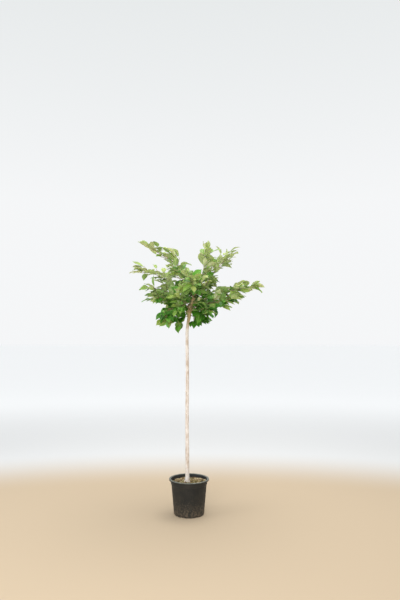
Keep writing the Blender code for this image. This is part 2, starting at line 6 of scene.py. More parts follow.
# %% Load the plain model
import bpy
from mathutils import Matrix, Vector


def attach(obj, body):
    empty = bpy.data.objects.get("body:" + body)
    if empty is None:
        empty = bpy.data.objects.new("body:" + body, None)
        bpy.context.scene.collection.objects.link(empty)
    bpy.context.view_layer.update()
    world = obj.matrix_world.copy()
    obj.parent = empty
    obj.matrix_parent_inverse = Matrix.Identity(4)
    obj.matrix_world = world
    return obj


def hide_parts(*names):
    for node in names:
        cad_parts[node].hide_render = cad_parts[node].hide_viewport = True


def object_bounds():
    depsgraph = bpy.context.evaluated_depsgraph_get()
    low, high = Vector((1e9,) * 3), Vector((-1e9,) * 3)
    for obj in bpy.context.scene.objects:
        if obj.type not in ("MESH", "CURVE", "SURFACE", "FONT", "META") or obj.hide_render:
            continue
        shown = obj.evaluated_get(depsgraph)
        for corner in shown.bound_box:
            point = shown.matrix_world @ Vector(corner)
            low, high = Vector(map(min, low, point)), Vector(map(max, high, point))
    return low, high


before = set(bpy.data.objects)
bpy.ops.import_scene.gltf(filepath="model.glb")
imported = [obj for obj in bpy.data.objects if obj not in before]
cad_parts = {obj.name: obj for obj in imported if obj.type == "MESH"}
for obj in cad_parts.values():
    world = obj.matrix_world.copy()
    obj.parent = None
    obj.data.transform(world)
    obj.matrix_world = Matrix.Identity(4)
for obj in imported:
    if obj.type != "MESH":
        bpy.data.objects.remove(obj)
plain_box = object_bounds()
print("plain model has", len(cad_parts), "nodes")

# %% Modules
import math
import random
from collections import namedtuple

import bpy
import numpy as np
from mathutils import Matrix, Vector, noise
from mathutils.bvhtree import BVHTree
from mathutils.geometry import interpolate_bezier

# %% [markdown]
# The photograph was taken level, from about chest height and nearly four metres away.
# A level camera keeps the stem and the pot's sides upright. Lens shift, not tilt, sets the plant
# a little left of the middle and below it, so nothing converges.

# %% Camera
CAMERA_PLACE = (0.0062, -3.818, 1.2415)
LENS_MM = 35
SENSOR_MM = 36
FRAME_HEIGHT_PX = 600
SHIFT_RIGHT_PX = 10
SHIFT_UP_PX = 24


def add_camera():
    camera = bpy.data.objects.new("camera", bpy.data.cameras.new("camera"))
    bpy.context.scene.collection.objects.link(camera)
    camera.location = CAMERA_PLACE
    camera.rotation_euler = (math.radians(90), 0, 0)
    camera.data.lens = LENS_MM
    camera.data.sensor_width = SENSOR_MM
    camera.data.shift_x = SHIFT_RIGHT_PX / FRAME_HEIGHT_PX
    camera.data.shift_y = SHIFT_UP_PX / FRAME_HEIGHT_PX
    bpy.context.scene.camera = camera
    return camera


print("camera at", tuple(round(value, 3) for value in add_camera().location))

# %% [markdown]
# Leaves, bark and dark plastic all need a finish with its own grain. One helper makes a material
# with a main shader, and a second one adds any node and links it, so each finish below reads as
# the list of what is mixed into it.

# %% Material helpers
# A Mix node keeps sockets for every kind of data. These are the share and the two colours.
MIX_COLOUR_INPUTS = (0, 6, 7)
MIX_COLOUR_OUTPUT = 2


class Finish:
    """A material under construction, with short ways to add and link nodes."""

    def __init__(self, name, roughness=0.5):
        self.material = bpy.data.materials.new(name)
        self.material.use_nodes = True
        self.tree = self.material.node_tree
        self.shader = self.tree.nodes["Principled BSDF"]
        self.shader.inputs["Roughness"].default_value = roughness

    def feed(self, socket, value):
        """Links the socket where the value is another node's output, and otherwise sets it."""
        if isinstance(value, bpy.types.NodeSocket):
            self.tree.links.new(value, socket)
        elif socket.type == "RGBA":
            socket.default_value = (*value, 1)
        else:
            socket.default_value = value

    def node(self, kind, **settings):
        """Adds a node. Each setting is one of its own properties, or else one of its sockets."""
        made = self.tree.nodes.new("ShaderNode" + kind)
        for name, value in settings.items():
            if hasattr(made, name):
                setattr(made, name, value)
            else:
                self.feed(made.inputs[name.replace("_", " ")], value)
        return made

    def link(self, output, socket):
        self.tree.links.new(output, self.shader.inputs[socket])

    def place(self, scale=(1, 1, 1)):
        """Coordinates of the piece itself in metres, stretched by a scale along each axis."""
        coordinates = self.node("TexCoord").outputs["Object"]
        return self.node("Mapping", Vector=coordinates, Scale=scale).outputs["Vector"]

    def grain(self, size, detail=4, stretch=(1, 1, 1)):
        """Cloudy noise whose lumps measure about size metres, as a number from 0 to 1."""
        where = self.place(stretch)
        return self.node("TexNoise", Vector=where, Scale=1 / size, Detail=detail).outputs["Fac"]

    def ramp(self, value, *stops):
        """A colour for each position from 0 to 1."""
        made = self.node("ValToRGB", Fac=value)
        elements = made.color_ramp.elements
        while len(elements) < len(stops):
            elements.new(0.5)
        for element, (position, colour) in zip(elements, stops):
            element.position = position
            element.color = (*colour, 1)
        return made.outputs["Color"]

    def blend(self, share, low, high):
        """Two colours mixed by a share, each given as a colour or as another node's output."""
        made = self.tree.nodes.new("ShaderNodeMix")
        made.data_type = "RGBA"
        for number, value in zip(MIX_COLOUR_INPUTS, (share, low, high)):
            self.feed(made.inputs[number], value)
        return made.outputs[MIX_COLOUR_OUTPUT]

    def product(self, first, second):
        """Two numbers multiplied, each given as a number or as another node's output."""
        made = self.node("Math", operation="MULTIPLY")
        self.feed(made.inputs[0], first)
        self.feed(made.inputs[1], second)
        return made.outputs[0]

    def between(self, value, low, high):
        """A smooth rise from 0 at low to 1 at high."""
        made = self.node("MapRange", interpolation_type="SMOOTHSTEP", Value=value)
        made.inputs["From Min"].default_value = low
        made.inputs["From Max"].default_value = high
        return made.outputs["Result"]

    def height(self):
        return self.node("SeparateXYZ", Vector=self.place()).outputs["Z"]

    def bump(self, value, depth, strength=1.0):
        """Fine relief of this depth in metres, too small for the mesh."""
        made = self.node("Bump", Height=value, Distance=depth, Strength=strength)
        self.link(made.outputs["Normal"], "Normal")
        return self


print("finish helpers ready")

# %% [markdown]
# The photograph has broad, even daylight. A studio copy of that is a plain pale floor that fades out
# to the white world, one large soft lamp high above and a little behind, which lets the upper leaves
# glow, and soft ones in front and at the left that open the shade.

# %% Light and floor values
FLOOR_NEAR = (0.600, 0.475, 0.335)
FLOOR_FAR = (0.80, 0.80, 0.80)
FLOOR_SIZE = 60.0
FLOOR_GLOSS = 0.1
# The floor fades to white, and then glows a little, by how far it is from a point in front.
FADE_CENTRE = (0.0, -4.0, 0.0)
FADE_FROM = 4.7
FADE_TO = 5.9
GLOW_FROM = 5.8
GLOW_TO = 10.0
FAR_GLOW = 0.335
GLOW_COLOUR = (0.97, 0.985, 1.0)
# The white of the world from the horizon up, by the sine of the angle above it.
SKY_STOPS = (
    (0.20, (0.915, 0.925, 0.935)),
    (0.50, (0.800, 0.825, 0.830)),
    (1.00, (0.500, 0.520, 0.540)),
)
LAMP_AIM = (0, 0, 1.1)
# Each lamp has its place, its size, its watts and its colour.
LAMPS = {
    "overhead lamp": ((0.4, 0.4, 3.9), 2.8, 78.0, (1.0, 0.985, 0.95)),
    "front lamp": ((-0.8, -4.4, 1.5), 2.4, 95.0, (1.0, 1.0, 1.0)),
    "side lamp": ((-2.7, -0.9, 2.0), 1.6, 16.0, (0.95, 0.98, 1.0)),
}


print("floor of", FLOOR_SIZE, "m and", len(LAMPS), "lamps planned")


# %% Floor, world and lamps
def add_floor():
    mesh = bpy.data.meshes.new("floor")
    half = FLOOR_SIZE / 2
    corners = [(-half, -half, 0), (half, -half, 0), (half, half, 0), (-half, half, 0)]
    mesh.from_pydata(corners, [], [(0, 1, 2, 3)])
    floor = bpy.data.objects.new("floor", mesh)
    bpy.context.scene.collection.objects.link(floor)
    pale = Finish("pale floor", roughness=0.8)
    away = pale.node("VectorMath", operation="DISTANCE")
    pale.feed(away.inputs[0], pale.place())
    pale.feed(away.inputs[1], FADE_CENTRE)
    distance = away.outputs["Value"]
    fade = pale.between(distance, FADE_FROM, FADE_TO)
    pale.link(pale.blend(fade, FLOOR_NEAR, FLOOR_FAR), "Base Color")
    pale.shader.inputs["Specular IOR Level"].default_value = FLOOR_GLOSS
    pale.shader.inputs["Emission Color"].default_value = (*GLOW_COLOUR, 1)
    glow = pale.product(pale.between(distance, GLOW_FROM, GLOW_TO), FAR_GLOW)
    pale.link(glow, "Emission Strength")
    mesh.materials.append(pale.material)


def add_world():
    """A white world that dims overhead, so that the lamps above shape the plant."""
    world = bpy.data.worlds.new("daylight")
    bpy.context.scene.world = world
    world.use_nodes = True
    tree = world.node_tree
    way = tree.nodes.new("ShaderNodeTexCoord")
    split = tree.nodes.new("ShaderNodeSeparateXYZ")
    ramp = tree.nodes.new("ShaderNodeValToRGB")
    tree.links.new(way.outputs["Generated"], split.inputs["Vector"])
    tree.links.new(split.outputs["Z"], ramp.inputs["Fac"])
    tree.links.new(ramp.outputs["Color"], tree.nodes["Background"].inputs["Color"])
    ramp.color_ramp.elements.new(0.5)
    for element, (position, colour) in zip(ramp.color_ramp.elements, SKY_STOPS):
        element.position = position
        element.color = (*colour, 1)
    tree.nodes["Background"].inputs["Strength"].default_value = 1.0


def add_lamp(name, place, size, watts, colour):
    lamp = bpy.data.objects.new(name, bpy.data.lights.new(name, "AREA"))
    bpy.context.scene.collection.objects.link(lamp)
    lamp.location = place
    lamp.rotation_euler = (Vector(place) - Vector(LAMP_AIM)).to_track_quat("Z", "Y").to_euler()
    lamp.data.shape = "DISK"
    lamp.data.size = size
    lamp.data.energy = watts
    lamp.data.color = colour
    lamp.visible_camera = False


bpy.context.scene.view_settings.view_transform = "Standard"
add_floor()
add_world()
for lamp_name, (place, size, watts, colour) in LAMPS.items():
    add_lamp(lamp_name, place, size, watts, colour)
print("floor, world and", len(LAMPS), "lamps")

# %% [markdown]
# Pieces here are made from points and faces worked out in loops. It suits a plant, where every
# twig and leaf follows a rule, better than pushing points about by hand. The next four cells hold
# the small tools that the rest shares. A limb's surface is a ring of points swept along a path.

# %% Pieces
Z_UP = Vector((0, 0, 1))
SHARP_ANGLE = 38


def add_piece(name, points, faces, materials, which=None, smooth=True):
    """A mesh object from points and faces. Which gives each face's material by number."""
    mesh = bpy.data.meshes.new(name)
    mesh.from_pydata(points, [], faces)
    for material in materials:
        mesh.materials.append(material)
    if which is not None:
        mesh.polygons.foreach_set("material_index", np.asarray(which, dtype=np.int32))
    if smooth:
        mesh.shade_smooth()
        mesh.set_sharp_from_angle(angle=math.radians(SHARP_ANGLE))
    mesh.update()
    piece = bpy.data.objects.new(name, mesh)
    bpy.context.scene.collection.objects.link(piece)
    return piece


def dress(piece, slot, *nodes):
    """Puts a finished piece in the place of its plain nodes."""
    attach(piece, "root")
    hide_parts(*nodes)
    print(piece.name, "has", sum(len(face.vertices) - 2 for face in piece.data.polygons), "triangles")
    return piece


print("edges turn sharp from", SHARP_ANGLE, "degrees")


# %% Sums that the rest shares
def mix(low, high, share):
    return low + (high - low) * share


def smooth_step(share):
    share = min(max(share, 0.0), 1.0)
    return share * share * (3 - 2 * share)


def heading_vector(degrees, pitch=0.0):
    turn = math.radians(degrees)
    rise = math.radians(pitch)
    return Vector((math.cos(turn) * math.cos(rise), math.sin(turn) * math.cos(rise), math.sin(rise)))


print("a quarter of the way from 0 to 8 is", mix(0, 8, 0.25), "and eased", mix(0, 8, smooth_step(0.25)))


# %% Swept tubes
def frames_along(points, first=None, last=None):
    """A tangent and a side direction at each point, turned no more than the path needs."""
    tangents = []
    for index in range(len(points)):
        before = points[max(index - 1, 0)]
        after = points[min(index + 1, len(points) - 1)]
        tangents.append((after - before).normalized())
    tangents[0] = first or tangents[0]
    tangents[-1] = last or tangents[-1]
    side = tangents[0].orthogonal().normalized()
    frames = []
    for tangent in tangents:
        side = (side - tangent * side.dot(tangent)).normalized()
        frames.append((tangent, side))
    return frames


def swept(points, radii, sides, shape=None, first=None, last=None):
    """A closed tube along points. Shape gives each ring point's share of its radius."""
    solid_points = []
    faces = []
    for index, (tangent, side) in enumerate(frames_along(points, first, last)):
        other = tangent.cross(side)
        for step in range(sides):
            turn = math.tau * step / sides
            radius = radii[index] * (shape(index, turn) if shape else 1.0)
            offset = side * math.cos(turn) + other * math.sin(turn)
            solid_points.append(points[index] + offset * radius)
    for ring in range(len(points) - 1):
        for step in range(sides):
            following = (step + 1) % sides
            low = ring * sides
            high = low + sides
            faces.append((low + step, low + following, high + following, high + step))
    faces.append(tuple(reversed(range(sides))))
    faces.append(tuple(range(len(solid_points) - sides, len(solid_points))))
    return solid_points, faces


def joined(solids):
    """Many solids as one list of points and one of faces."""
    points = []
    faces = []
    for solid_points, solid_faces in solids:
        first = len(points)
        points += solid_points
        faces += [tuple(first + corner for corner in face) for face in solid_faces]
    return points, faces


print("a rod of 3 rings of 6 points has", len(swept([Z_UP * 0, Z_UP, Z_UP * 2], [1, 1, 1], 6)[1]), "faces")


# %% Turned solids
def turned(profile, sides, radius_at):
    """A solid of revolution from the axis to the axis. Radius_at may ripple it round its turn."""
    points = [Vector((0, 0, profile[0][1]))]
    faces = []
    rings = []
    for index, (radius, height) in enumerate(profile[1:-1]):
        rings.append(range(len(points), len(points) + sides))
        for side in range(sides):
            turn = math.tau * side / sides
            reach = radius_at(index + 1, radius, height, turn)
            points.append(Vector((reach * math.cos(turn), reach * math.sin(turn), height)))
    points.append(Vector((0, 0, profile[-1][1])))
    for side in range(sides):
        following = (side + 1) % sides
        faces.append((0, rings[0][following], rings[0][side]))
        faces.append((len(points) - 1, rings[-1][side], rings[-1][following]))
        for lower, upper in zip(rings, rings[1:]):
            faces.append((lower[side], lower[following], upper[following], upper[side]))
    return points, faces


print("pieces can now be swept along a line or turned about the axis")

# %% [markdown]
# The pot is a thin nursery container, blown from dark plastic. Its lip is rolled outwards for
# strength, a smooth band runs under it, and the body below is finely ribbed. The plain model has
# the same outline, so this one keeps its radii and adds roundings and ribs. Turning a profile is
# the natural way, and a Boolean then cuts the six drain notches at the foot.

# %% Pot sizes
POT_HEIGHT = 0.232
LIP_RADIUS = 0.130
LIP_THICKNESS = 0.0026
LIP_TURN_DOWN = 0.0095
LIP_ROUNDING = 0.0018
BAND_RADIUS = 0.1200
BAND_FOOT_RADIUS = 0.1182
BAND_FOOT = POT_HEIGHT - 0.034
BAND_STEP = 0.002
BODY_RADIUS = 0.1150
FOOT_RADIUS = 0.0990
FOOT_ROUNDING = 0.0060
WALL = 0.0020
WALL_AT_FOOT = 0.0032
FLOOR = 0.0035
EDGE_EASE = 0.0012
LIP_FILLET = (0.0008, 0.0002)
UNDERSIDE_RINGS = (0.045, 0.075)
BAND_RINGS = (0.08, 0.35, 0.65, 0.97)
BODY_RINGS = 26
BODY_TOP = BAND_FOOT - BAND_STEP

print("pot", round(LIP_RADIUS * 2000), "mm across its lip and", round(POT_HEIGHT * 1000), "mm high")


# %% Pot profile
def rounded(centre, radius, start, end, steps):
    """Points of an arc in the profile, from one angle to another in degrees."""
    turns = [math.radians(mix(start, end, step / steps)) for step in range(steps + 1)]
    return [(centre[0] + radius * math.cos(turn), centre[1] + radius * math.sin(turn)) for turn in turns]


def pot_profile():
    """Radius and height from the underside's centre out, up and over the lip, and down inside."""
    foot = (FOOT_RADIUS - FOOT_ROUNDING, FOOT_ROUNDING)
    hook = LIP_RADIUS - LIP_THICKNESS
    roll = LIP_THICKNESS / 2
    outer = [(0.0, 0.0), *((radius, 0.0) for radius in UNDERSIDE_RINGS)]
    outer += rounded(foot, FOOT_ROUNDING, -90, 0, 5)
    for ring in range(1, BODY_RINGS + 1):
        share = ring / BODY_RINGS
        outer.append((mix(FOOT_RADIUS, BODY_RADIUS, share), mix(FOOT_ROUNDING, BODY_TOP, share)))
    outer += [(BODY_RADIUS + EDGE_EASE, BAND_FOOT - EDGE_EASE), (BAND_FOOT_RADIUS, BAND_FOOT)]
    band_top = POT_HEIGHT - LIP_THICKNESS
    for share in BAND_RINGS:
        outer.append((mix(BAND_FOOT_RADIUS, BAND_RADIUS, share), mix(BAND_FOOT, band_top, share)))
    outer.append((hook - LIP_FILLET[0], band_top - LIP_FILLET[1]))
    outer.append((hook, band_top - EDGE_EASE))
    outer += rounded((hook + roll, POT_HEIGHT - LIP_TURN_DOWN + roll), roll, 180, 360, 6)
    outer += rounded((LIP_RADIUS - LIP_ROUNDING, POT_HEIGHT - LIP_ROUNDING), LIP_ROUNDING, 0, 90, 5)
    inner = [(BAND_RADIUS - WALL / 2, POT_HEIGHT), (BAND_RADIUS - WALL, POT_HEIGHT - EDGE_EASE)]
    inner += [(BAND_FOOT_RADIUS - WALL, BAND_FOOT + WALL), (BODY_RADIUS - WALL, BODY_TOP + WALL)]
    inner += [(FOOT_RADIUS - WALL_AT_FOOT, FLOOR + FOOT_ROUNDING)]
    inner += [(FOOT_RADIUS - WALL - FOOT_ROUNDING, FLOOR), (0.0, FLOOR)]
    return outer, inner


print("pot's profile has", sum(len(line) for line in pot_profile()), "points")

# %% Ribbed wall
RIB_COUNT = 62
RIB_DEPTH = 0.0011
RIB_POINTS = 6
# The ribs fade in over these heights above the floor, and out over these below the band.
RIB_FADE_FOOT = (0.010, 0.02)
RIB_FADE_BAND = (0.006, 0.008)
OUT_OF_ROUND = 0.0004
OUT_OF_ROUND_TURN = 0.7


def make_pot():
    outer, inner = pot_profile()

    def ribbed(index, radius, height, turn):
        """The outer wall's ribs, which fade out towards the foot and the band."""
        if index >= len(outer):
            return radius
        fade = smooth_step((height - RIB_FADE_FOOT[0]) / RIB_FADE_FOOT[1])
        fade *= smooth_step((BAND_FOOT - RIB_FADE_BAND[0] - height) / RIB_FADE_BAND[1])
        oval = OUT_OF_ROUND * math.sin(2 * turn + OUT_OF_ROUND_TURN) * smooth_step(height / POT_HEIGHT)
        return radius - RIB_DEPTH * fade * (0.5 + 0.5 * math.cos(RIB_COUNT * turn)) ** 2 + oval

    points, faces = turned(outer + inner, RIB_COUNT * RIB_POINTS, ribbed)
    return add_piece("nursery_pot", points, faces, [])


pot = make_pot()
print("pot's wall has", RIB_COUNT, "ribs")

# %% Drain notches
DRAIN_COUNT = 6
DRAIN_SIZE = (0.0185, 0.026, 0.018)


def carve(target, cutters):
    """Cuts all the cutters out of the target and removes them."""
    group = bpy.data.collections.new("cutters")
    for cutter in cutters:
        bpy.context.scene.collection.objects.unlink(cutter)
        group.objects.link(cutter)
    modifier = target.modifiers.new("Boolean", "BOOLEAN")
    modifier.operation = "DIFFERENCE"
    modifier.operand_type = "COLLECTION"
    modifier.collection = group
    modifier.solver = "EXACT"
    result = bpy.data.meshes.new_from_object(target.evaluated_get(bpy.context.evaluated_depsgraph_get()))
    target.modifiers.remove(modifier)
    target.data = result
    for cutter in cutters:
        bpy.data.objects.remove(cutter, do_unlink=True)
    bpy.data.collections.remove(group)
    result.shade_smooth()
    result.set_sharp_from_angle(angle=math.radians(SHARP_ANGLE))


def drain_notches():
    corners = [(x, y, z) for x in (-0.5, 0.5) for y in (-0.5, 0.5) for z in (-0.5, 0.5)]
    faces = [(0, 1, 3, 2), (4, 6, 7, 5), (0, 4, 5, 1), (2, 3, 7, 6), (0, 2, 6, 4), (1, 5, 7, 3)]
    notches = []
    for index in range(DRAIN_COUNT):
        turn = Matrix.Rotation(math.tau * index / DRAIN_COUNT, 4, "Z")
        place = turn @ Matrix.Translation((FOOT_RADIUS, 0, 0))
        points = [place @ (Vector(corner) * Vector(DRAIN_SIZE)) for corner in corners]
        notches.append(add_piece("notch", points, faces, [], smooth=False))
    return notches


carve(pot, drain_notches())
print("pot's foot has", DRAIN_COUNT, "drain notches")

# %% [markdown]
# Recycled plastic of this kind is never one black. It is dark grey, a little green or brown from
# place to place. Splashed compost has dried on its lower third as brown dust and specks, and the
# lip's top edge is painted paler as a highlight. Height above the floor drives both, with noise to
# break up their edges.

# %% Pot finish
PLASTIC_GREYS = (
    (0.30, (0.0125, 0.0130, 0.0125)),
    (0.55, (0.0190, 0.0185, 0.0160)),
    (0.75, (0.0270, 0.0235, 0.0195)),
)
# Pale greys of a painted highlight along the lip's top edge.
LIP_HIGHLIGHT_GREYS = ((0.35, (0.10, 0.105, 0.09)), (0.7, (0.24, 0.25, 0.21)))
DUST_COLOUR = (0.095, 0.073, 0.052)
SPECK_COLOUR = (0.17, 0.14, 0.10)
# Each runs from the height where it starts to the height where it is whole.
DUST_HEIGHTS = (0.100, 0.010)
SPECK_HEIGHTS = (0.16, 0.02)
LIP_HIGHLIGHT_HEIGHTS = (POT_HEIGHT - 0.0045, POT_HEIGHT - 0.0005)


def pot_plastic():
    skin = Finish("dark grey nursery plastic", roughness=0.5)
    skin.shader.inputs["Specular IOR Level"].default_value = 0.28
    base = skin.ramp(skin.grain(0.05), *PLASTIC_GREYS)
    dust = skin.between(skin.grain(0.012, 6), 0.38, 0.66)
    dusty = skin.product(skin.between(skin.height(), *DUST_HEIGHTS), dust)
    soiled = skin.blend(dusty, base, DUST_COLOUR)
    specks = skin.between(skin.grain(0.0040, 2), 0.60, 0.66)
    low_specks = skin.product(specks, skin.between(skin.height(), *SPECK_HEIGHTS))
    speckled = skin.blend(low_specks, soiled, SPECK_COLOUR)
    # The painted highlight fills the lip's top few millimetres.
    lip_highlight = skin.between(skin.height(), *LIP_HIGHLIGHT_HEIGHTS)
    rim = skin.ramp(skin.grain(0.02), *LIP_HIGHLIGHT_GREYS)
    skin.link(skin.blend(lip_highlight, speckled, rim), "Base Color")
    skin.link(skin.ramp(skin.grain(0.02, 5), (0.3, (0.42,) * 3), (0.7, (0.62,) * 3)), "Roughness")
    skin.bump(skin.grain(0.0015, 3), 0.0001, 0.6)
    return skin.material


pot.data.materials.clear()
pot.data.materials.append(pot_plastic())
dress(pot, "pot_plastic", "pot")

# %% [markdown]
# The compost stands 25 mm below the rim, under a loose mulch of shredded wood and bark. Seen from
# eye height, it is that mulch which shows. Each chip is a short bent strip. Some are straw
# coloured, some tan or brown, and some are green with moss. Strips are strewn by a seeded rule over
# a lumpy bed, and each colour is joined into one mesh with its own finish.

# %% Compost bed
SOIL_TOP = 0.207
SOIL_FADE = 0.03
SOIL_CALM = 0.35
BED_DROP = 0.001
BED_RINGS = 46
BED_SIDES = 120
BED_LUMP = 0.0042
# Two sizes of lump, each with its count to a metre, its strength and its own slice of the noise.
BED_NOISES = ((45, 1.0, 0.3), (130, 0.5, 1.7))
GAP = 0.0003


def bed_height(x, y):
    """The compost's surface, level close to the stem and lumpy further out."""
    away = smooth_step((math.hypot(x, y) - SOIL_FADE) / SOIL_FADE)
    lumps = 0.0
    for count, strength, cut in BED_NOISES:
        lumps += strength * noise.noise(Vector((x * count, y * count, cut)))
    return SOIL_TOP - BED_DROP + BED_LUMP * lumps * mix(SOIL_CALM, 1.0, away)


def make_bed():
    wall = [(0.0, FLOOR + GAP), (FOOT_RADIUS - WALL - FOOT_ROUNDING - GAP, FLOOR + GAP),
            (FOOT_RADIUS - WALL_AT_FOOT - GAP, FLOOR + FOOT_ROUNDING + GAP),
            (BODY_RADIUS - WALL - GAP, BODY_TOP + WALL),
            (BAND_FOOT_RADIUS - WALL - GAP, BAND_FOOT + WALL + GAP)]
    rim = BAND_FOOT_RADIUS - WALL - GAP + 0.0003
    rings = [(rim * (1 - ring / BED_RINGS), SOIL_TOP) for ring in range(BED_RINGS)]

    def plain(index, radius, height, turn):
        return radius

    points, faces = turned([*wall, *rings, (0.0, SOIL_TOP)], BED_SIDES, plain)
    first_top = 1 + BED_SIDES * (len(wall) - 1)
    for point in points[first_top:]:
        point.z = bed_height(point.x, point.y)
    return points, faces


def compost():
    earth = Finish("dark peaty compost", roughness=0.95)
    colour = earth.ramp(earth.grain(0.006, 6), (0.35, (0.022, 0.014, 0.008)), (0.6, (0.075, 0.047, 0.026)),
                        (0.8, (0.16, 0.11, 0.06)))
    earth.link(colour, "Base Color")
    return earth.bump(earth.grain(0.002, 5), 0.0008).material


bed = add_piece("compost_bed", *make_bed(), [compost()])
dress(bed, "mulch", "soil")

# %% Mulch chips
CHIP_COUNT = 1700
CHIP_REACH = 0.1135
CHIP_LENGTH = (0.008, 0.044)
CHIP_WIDTH = (0.0012, 0.0062)
CHIP_THICKNESS = 0.0008
CHIP_STATIONS = 5
CHIP_END = 0.55
CHIP_LIFT = 0.0006
CHIP_PILE = 0.0065
CHIP_PITCH = 9
CHIP_TILT = 0.25
CHIP_TWIST = 0.9
CHIP_BEND = (-0.12, 0.16)
STEM_CLEAR = 0.021
STEM_CLEAR_X = -0.012
PATCH = 0.030
PATCH_EDGE = (-0.9, 0.5)
PATCH_APART = 3.7
# Each kind has its share of the chips, and a dark and a light colour.
CHIP_KINDS = {
    "mulch_straw": (0.36, (0.50, 0.37, 0.19), (0.80, 0.68, 0.45)),
    "mulch_tan": (0.24, (0.24, 0.14, 0.065), (0.44, 0.30, 0.16)),
    "mulch_brown": (0.24, (0.045, 0.024, 0.014), (0.13, 0.065, 0.035)),
    "mulch_moss": (0.16, (0.15, 0.16, 0.03), (0.36, 0.37, 0.11)),
}


def strip(middle, along, up, length, width, bend, twist):
    """A bent, slightly twisted strip with a squarish section."""
    side = along.cross(up).normalized()
    points = []
    faces = []
    last = CHIP_STATIONS - 1
    for station in range(CHIP_STATIONS):
        share = station / last - 0.5
        turn = Matrix.Rotation(twist * share, 3, along)
        centre = middle + along * length * share - up * bend * (share * 2) ** 2
        half = turn @ side * width / 2 * (1.0 if 0 < station < last else CHIP_END)
        lift = turn @ up * CHIP_THICKNESS / 2
        points += [centre + half + lift, centre - half + lift, centre - half - lift, centre + half - lift]
    for station in range(last):
        low = station * 4
        for corner in range(4):
            following = (corner + 1) % 4
            faces.append((low + corner, low + 4 + corner, low + 4 + following, low + following))
    return points, [(0, 1, 2, 3), tuple(last * 4 + corner for corner in (3, 2, 1, 0))] + faces


def strew_chips(count, patch_seed, rng):
    """Chips of one kind, which lie thickest in patches of their own."""
    solids = []
    while len(solids) < count:
        away = CHIP_REACH * math.sqrt(rng.random())
        turn = rng.uniform(0, math.tau)
        slim = rng.random()
        length = mix(*CHIP_LENGTH, rng.random() ** 1.6)
        width = mix(*CHIP_WIDTH, slim ** 2)
        along = heading_vector(rng.uniform(0, 360), rng.gauss(0, CHIP_PITCH))
        middle = Vector((away * math.cos(turn), away * math.sin(turn), 0))
        thick = noise.noise(Vector((middle.x / PATCH, middle.y / PATCH, patch_seed)))
        middle.z = bed_height(middle.x, middle.y) + CHIP_LIFT + CHIP_PILE * rng.random() ** 1.7
        ends = [middle + along * length * share for share in (-0.5, 0.0, 0.5)]
        out = max(end.xy.length for end in ends)
        clear = min(math.hypot(end.x - STEM_CLEAR_X, end.y) for end in ends)
        if out > CHIP_REACH or clear < STEM_CLEAR or thick < rng.uniform(*PATCH_EDGE):
            continue
        up = (Z_UP + Vector([rng.gauss(0, CHIP_TILT) for _ in range(3)])).normalized()
        up = (up - along * up.dot(along)).normalized()
        bend = length * rng.uniform(*CHIP_BEND)
        solids.append(strip(middle, along, up, length, width, bend, rng.gauss(0, CHIP_TWIST)))
    return joined(solids)


print(CHIP_COUNT, "chips of", len(CHIP_KINDS), "kinds planned")


# %% Strewing the mulch
def chip_finish(name, dark, light):
    wood = Finish(name.replace("_", " "), roughness=0.85)
    wood.shader.inputs["Specular IOR Level"].default_value = 0.2
    wood.link(wood.ramp(wood.grain(0.010, 3), (0.36, dark), (0.64, light)), "Base Color")
    return wood.bump(wood.grain(0.0012, 3), 0.0003).material


rng = random.Random(11)
for number, (kind, (share, dark, light)) in enumerate(CHIP_KINDS.items()):
    solids = strew_chips(round(CHIP_COUNT * share), number * PATCH_APART, rng)
    dress(add_piece(kind, *solids, [chip_finish(kind, dark, light)], smooth=False), "mulch", "soil")

# %% [markdown]
# The stem is the limb that was trained as one clear rod. It flares where its roots start, stays
# about as thick as a thumb, bends a little where the head begins, and swells where the boughs
# leave. The plain model gives its centre line and radius, and the same rule is written here.

# %% Stem sizes
STEM_FOOT_X = -0.012
STEM_LEAN_START = 1.18
HEAD_HEIGHT = 1.328
HEAD_X = 0.003
FORK_HEIGHT = 1.420
FORK_X = 0.026
STEM_WAVE = 0.0010
STEM_WAVE_LENGTH_X = 0.55
STEM_WAVE_LENGTH_Y = 0.70
STEM_SIDES = 12
# Each station has its height above the soil and its radius.
STEM_STATIONS = (
    (0.000, 0.0190),
    (0.012, 0.0158),
    (0.035, 0.0136),
    (0.080, 0.0126),
    (0.300, 0.0119),
    (0.600, 0.0112),
    (0.900, 0.0105),
    (1.060, 0.0103),
    (1.095, 0.0128),
    (1.120, 0.0152),
    (1.140, 0.0132),
    (1.158, 0.0092),
    (1.190, 0.0078),
    (1.213, 0.0074),
)
STEM_STEP = 0.065
STEM_ROUND_TOP = ((0.5, 0.84), (0.8, 0.44))
ROOT_FLARE_LOBES = 5
ROOT_FLARE_SHARE = 0.16
ROOT_FLARE_HEIGHT = 0.030
ROOT_FLARE_TURN = 0.6
# Each stub of a pruned shoot has its height, its heading in degrees, its length and its radius.
STUBS = (
    (1.345, 262, 0.026, 0.0068),
    (1.322, 318, 0.034, 0.0076),
)
STUB_PITCH = 20
STUB_STATIONS = ((0.0, 1.15), (0.5, 1.0), (0.92, 0.96), (1.0, 0.80))
BOUGH_SIDES = 7

print("stem is", round(STEM_STATIONS[4][1] * 2000, 1), "mm thick 0.3 m above the compost")


# %% Stem rule
def stem_axis(height):
    """The stem's centre at a height: a clear stem, a slight crook into the head, and the leader."""
    crook = smooth_step((height - STEM_LEAN_START) / (HEAD_HEIGHT - STEM_LEAN_START))
    leader = smooth_step((height - HEAD_HEIGHT) / (FORK_HEIGHT - HEAD_HEIGHT))
    along = height - SOIL_TOP
    x = mix(STEM_FOOT_X, HEAD_X, crook) + (FORK_X - HEAD_X) * leader
    x += STEM_WAVE * math.sin(math.tau * along / STEM_WAVE_LENGTH_X)
    y = STEM_WAVE * math.sin(math.tau * along / STEM_WAVE_LENGTH_Y)
    return Vector((x, y, height))


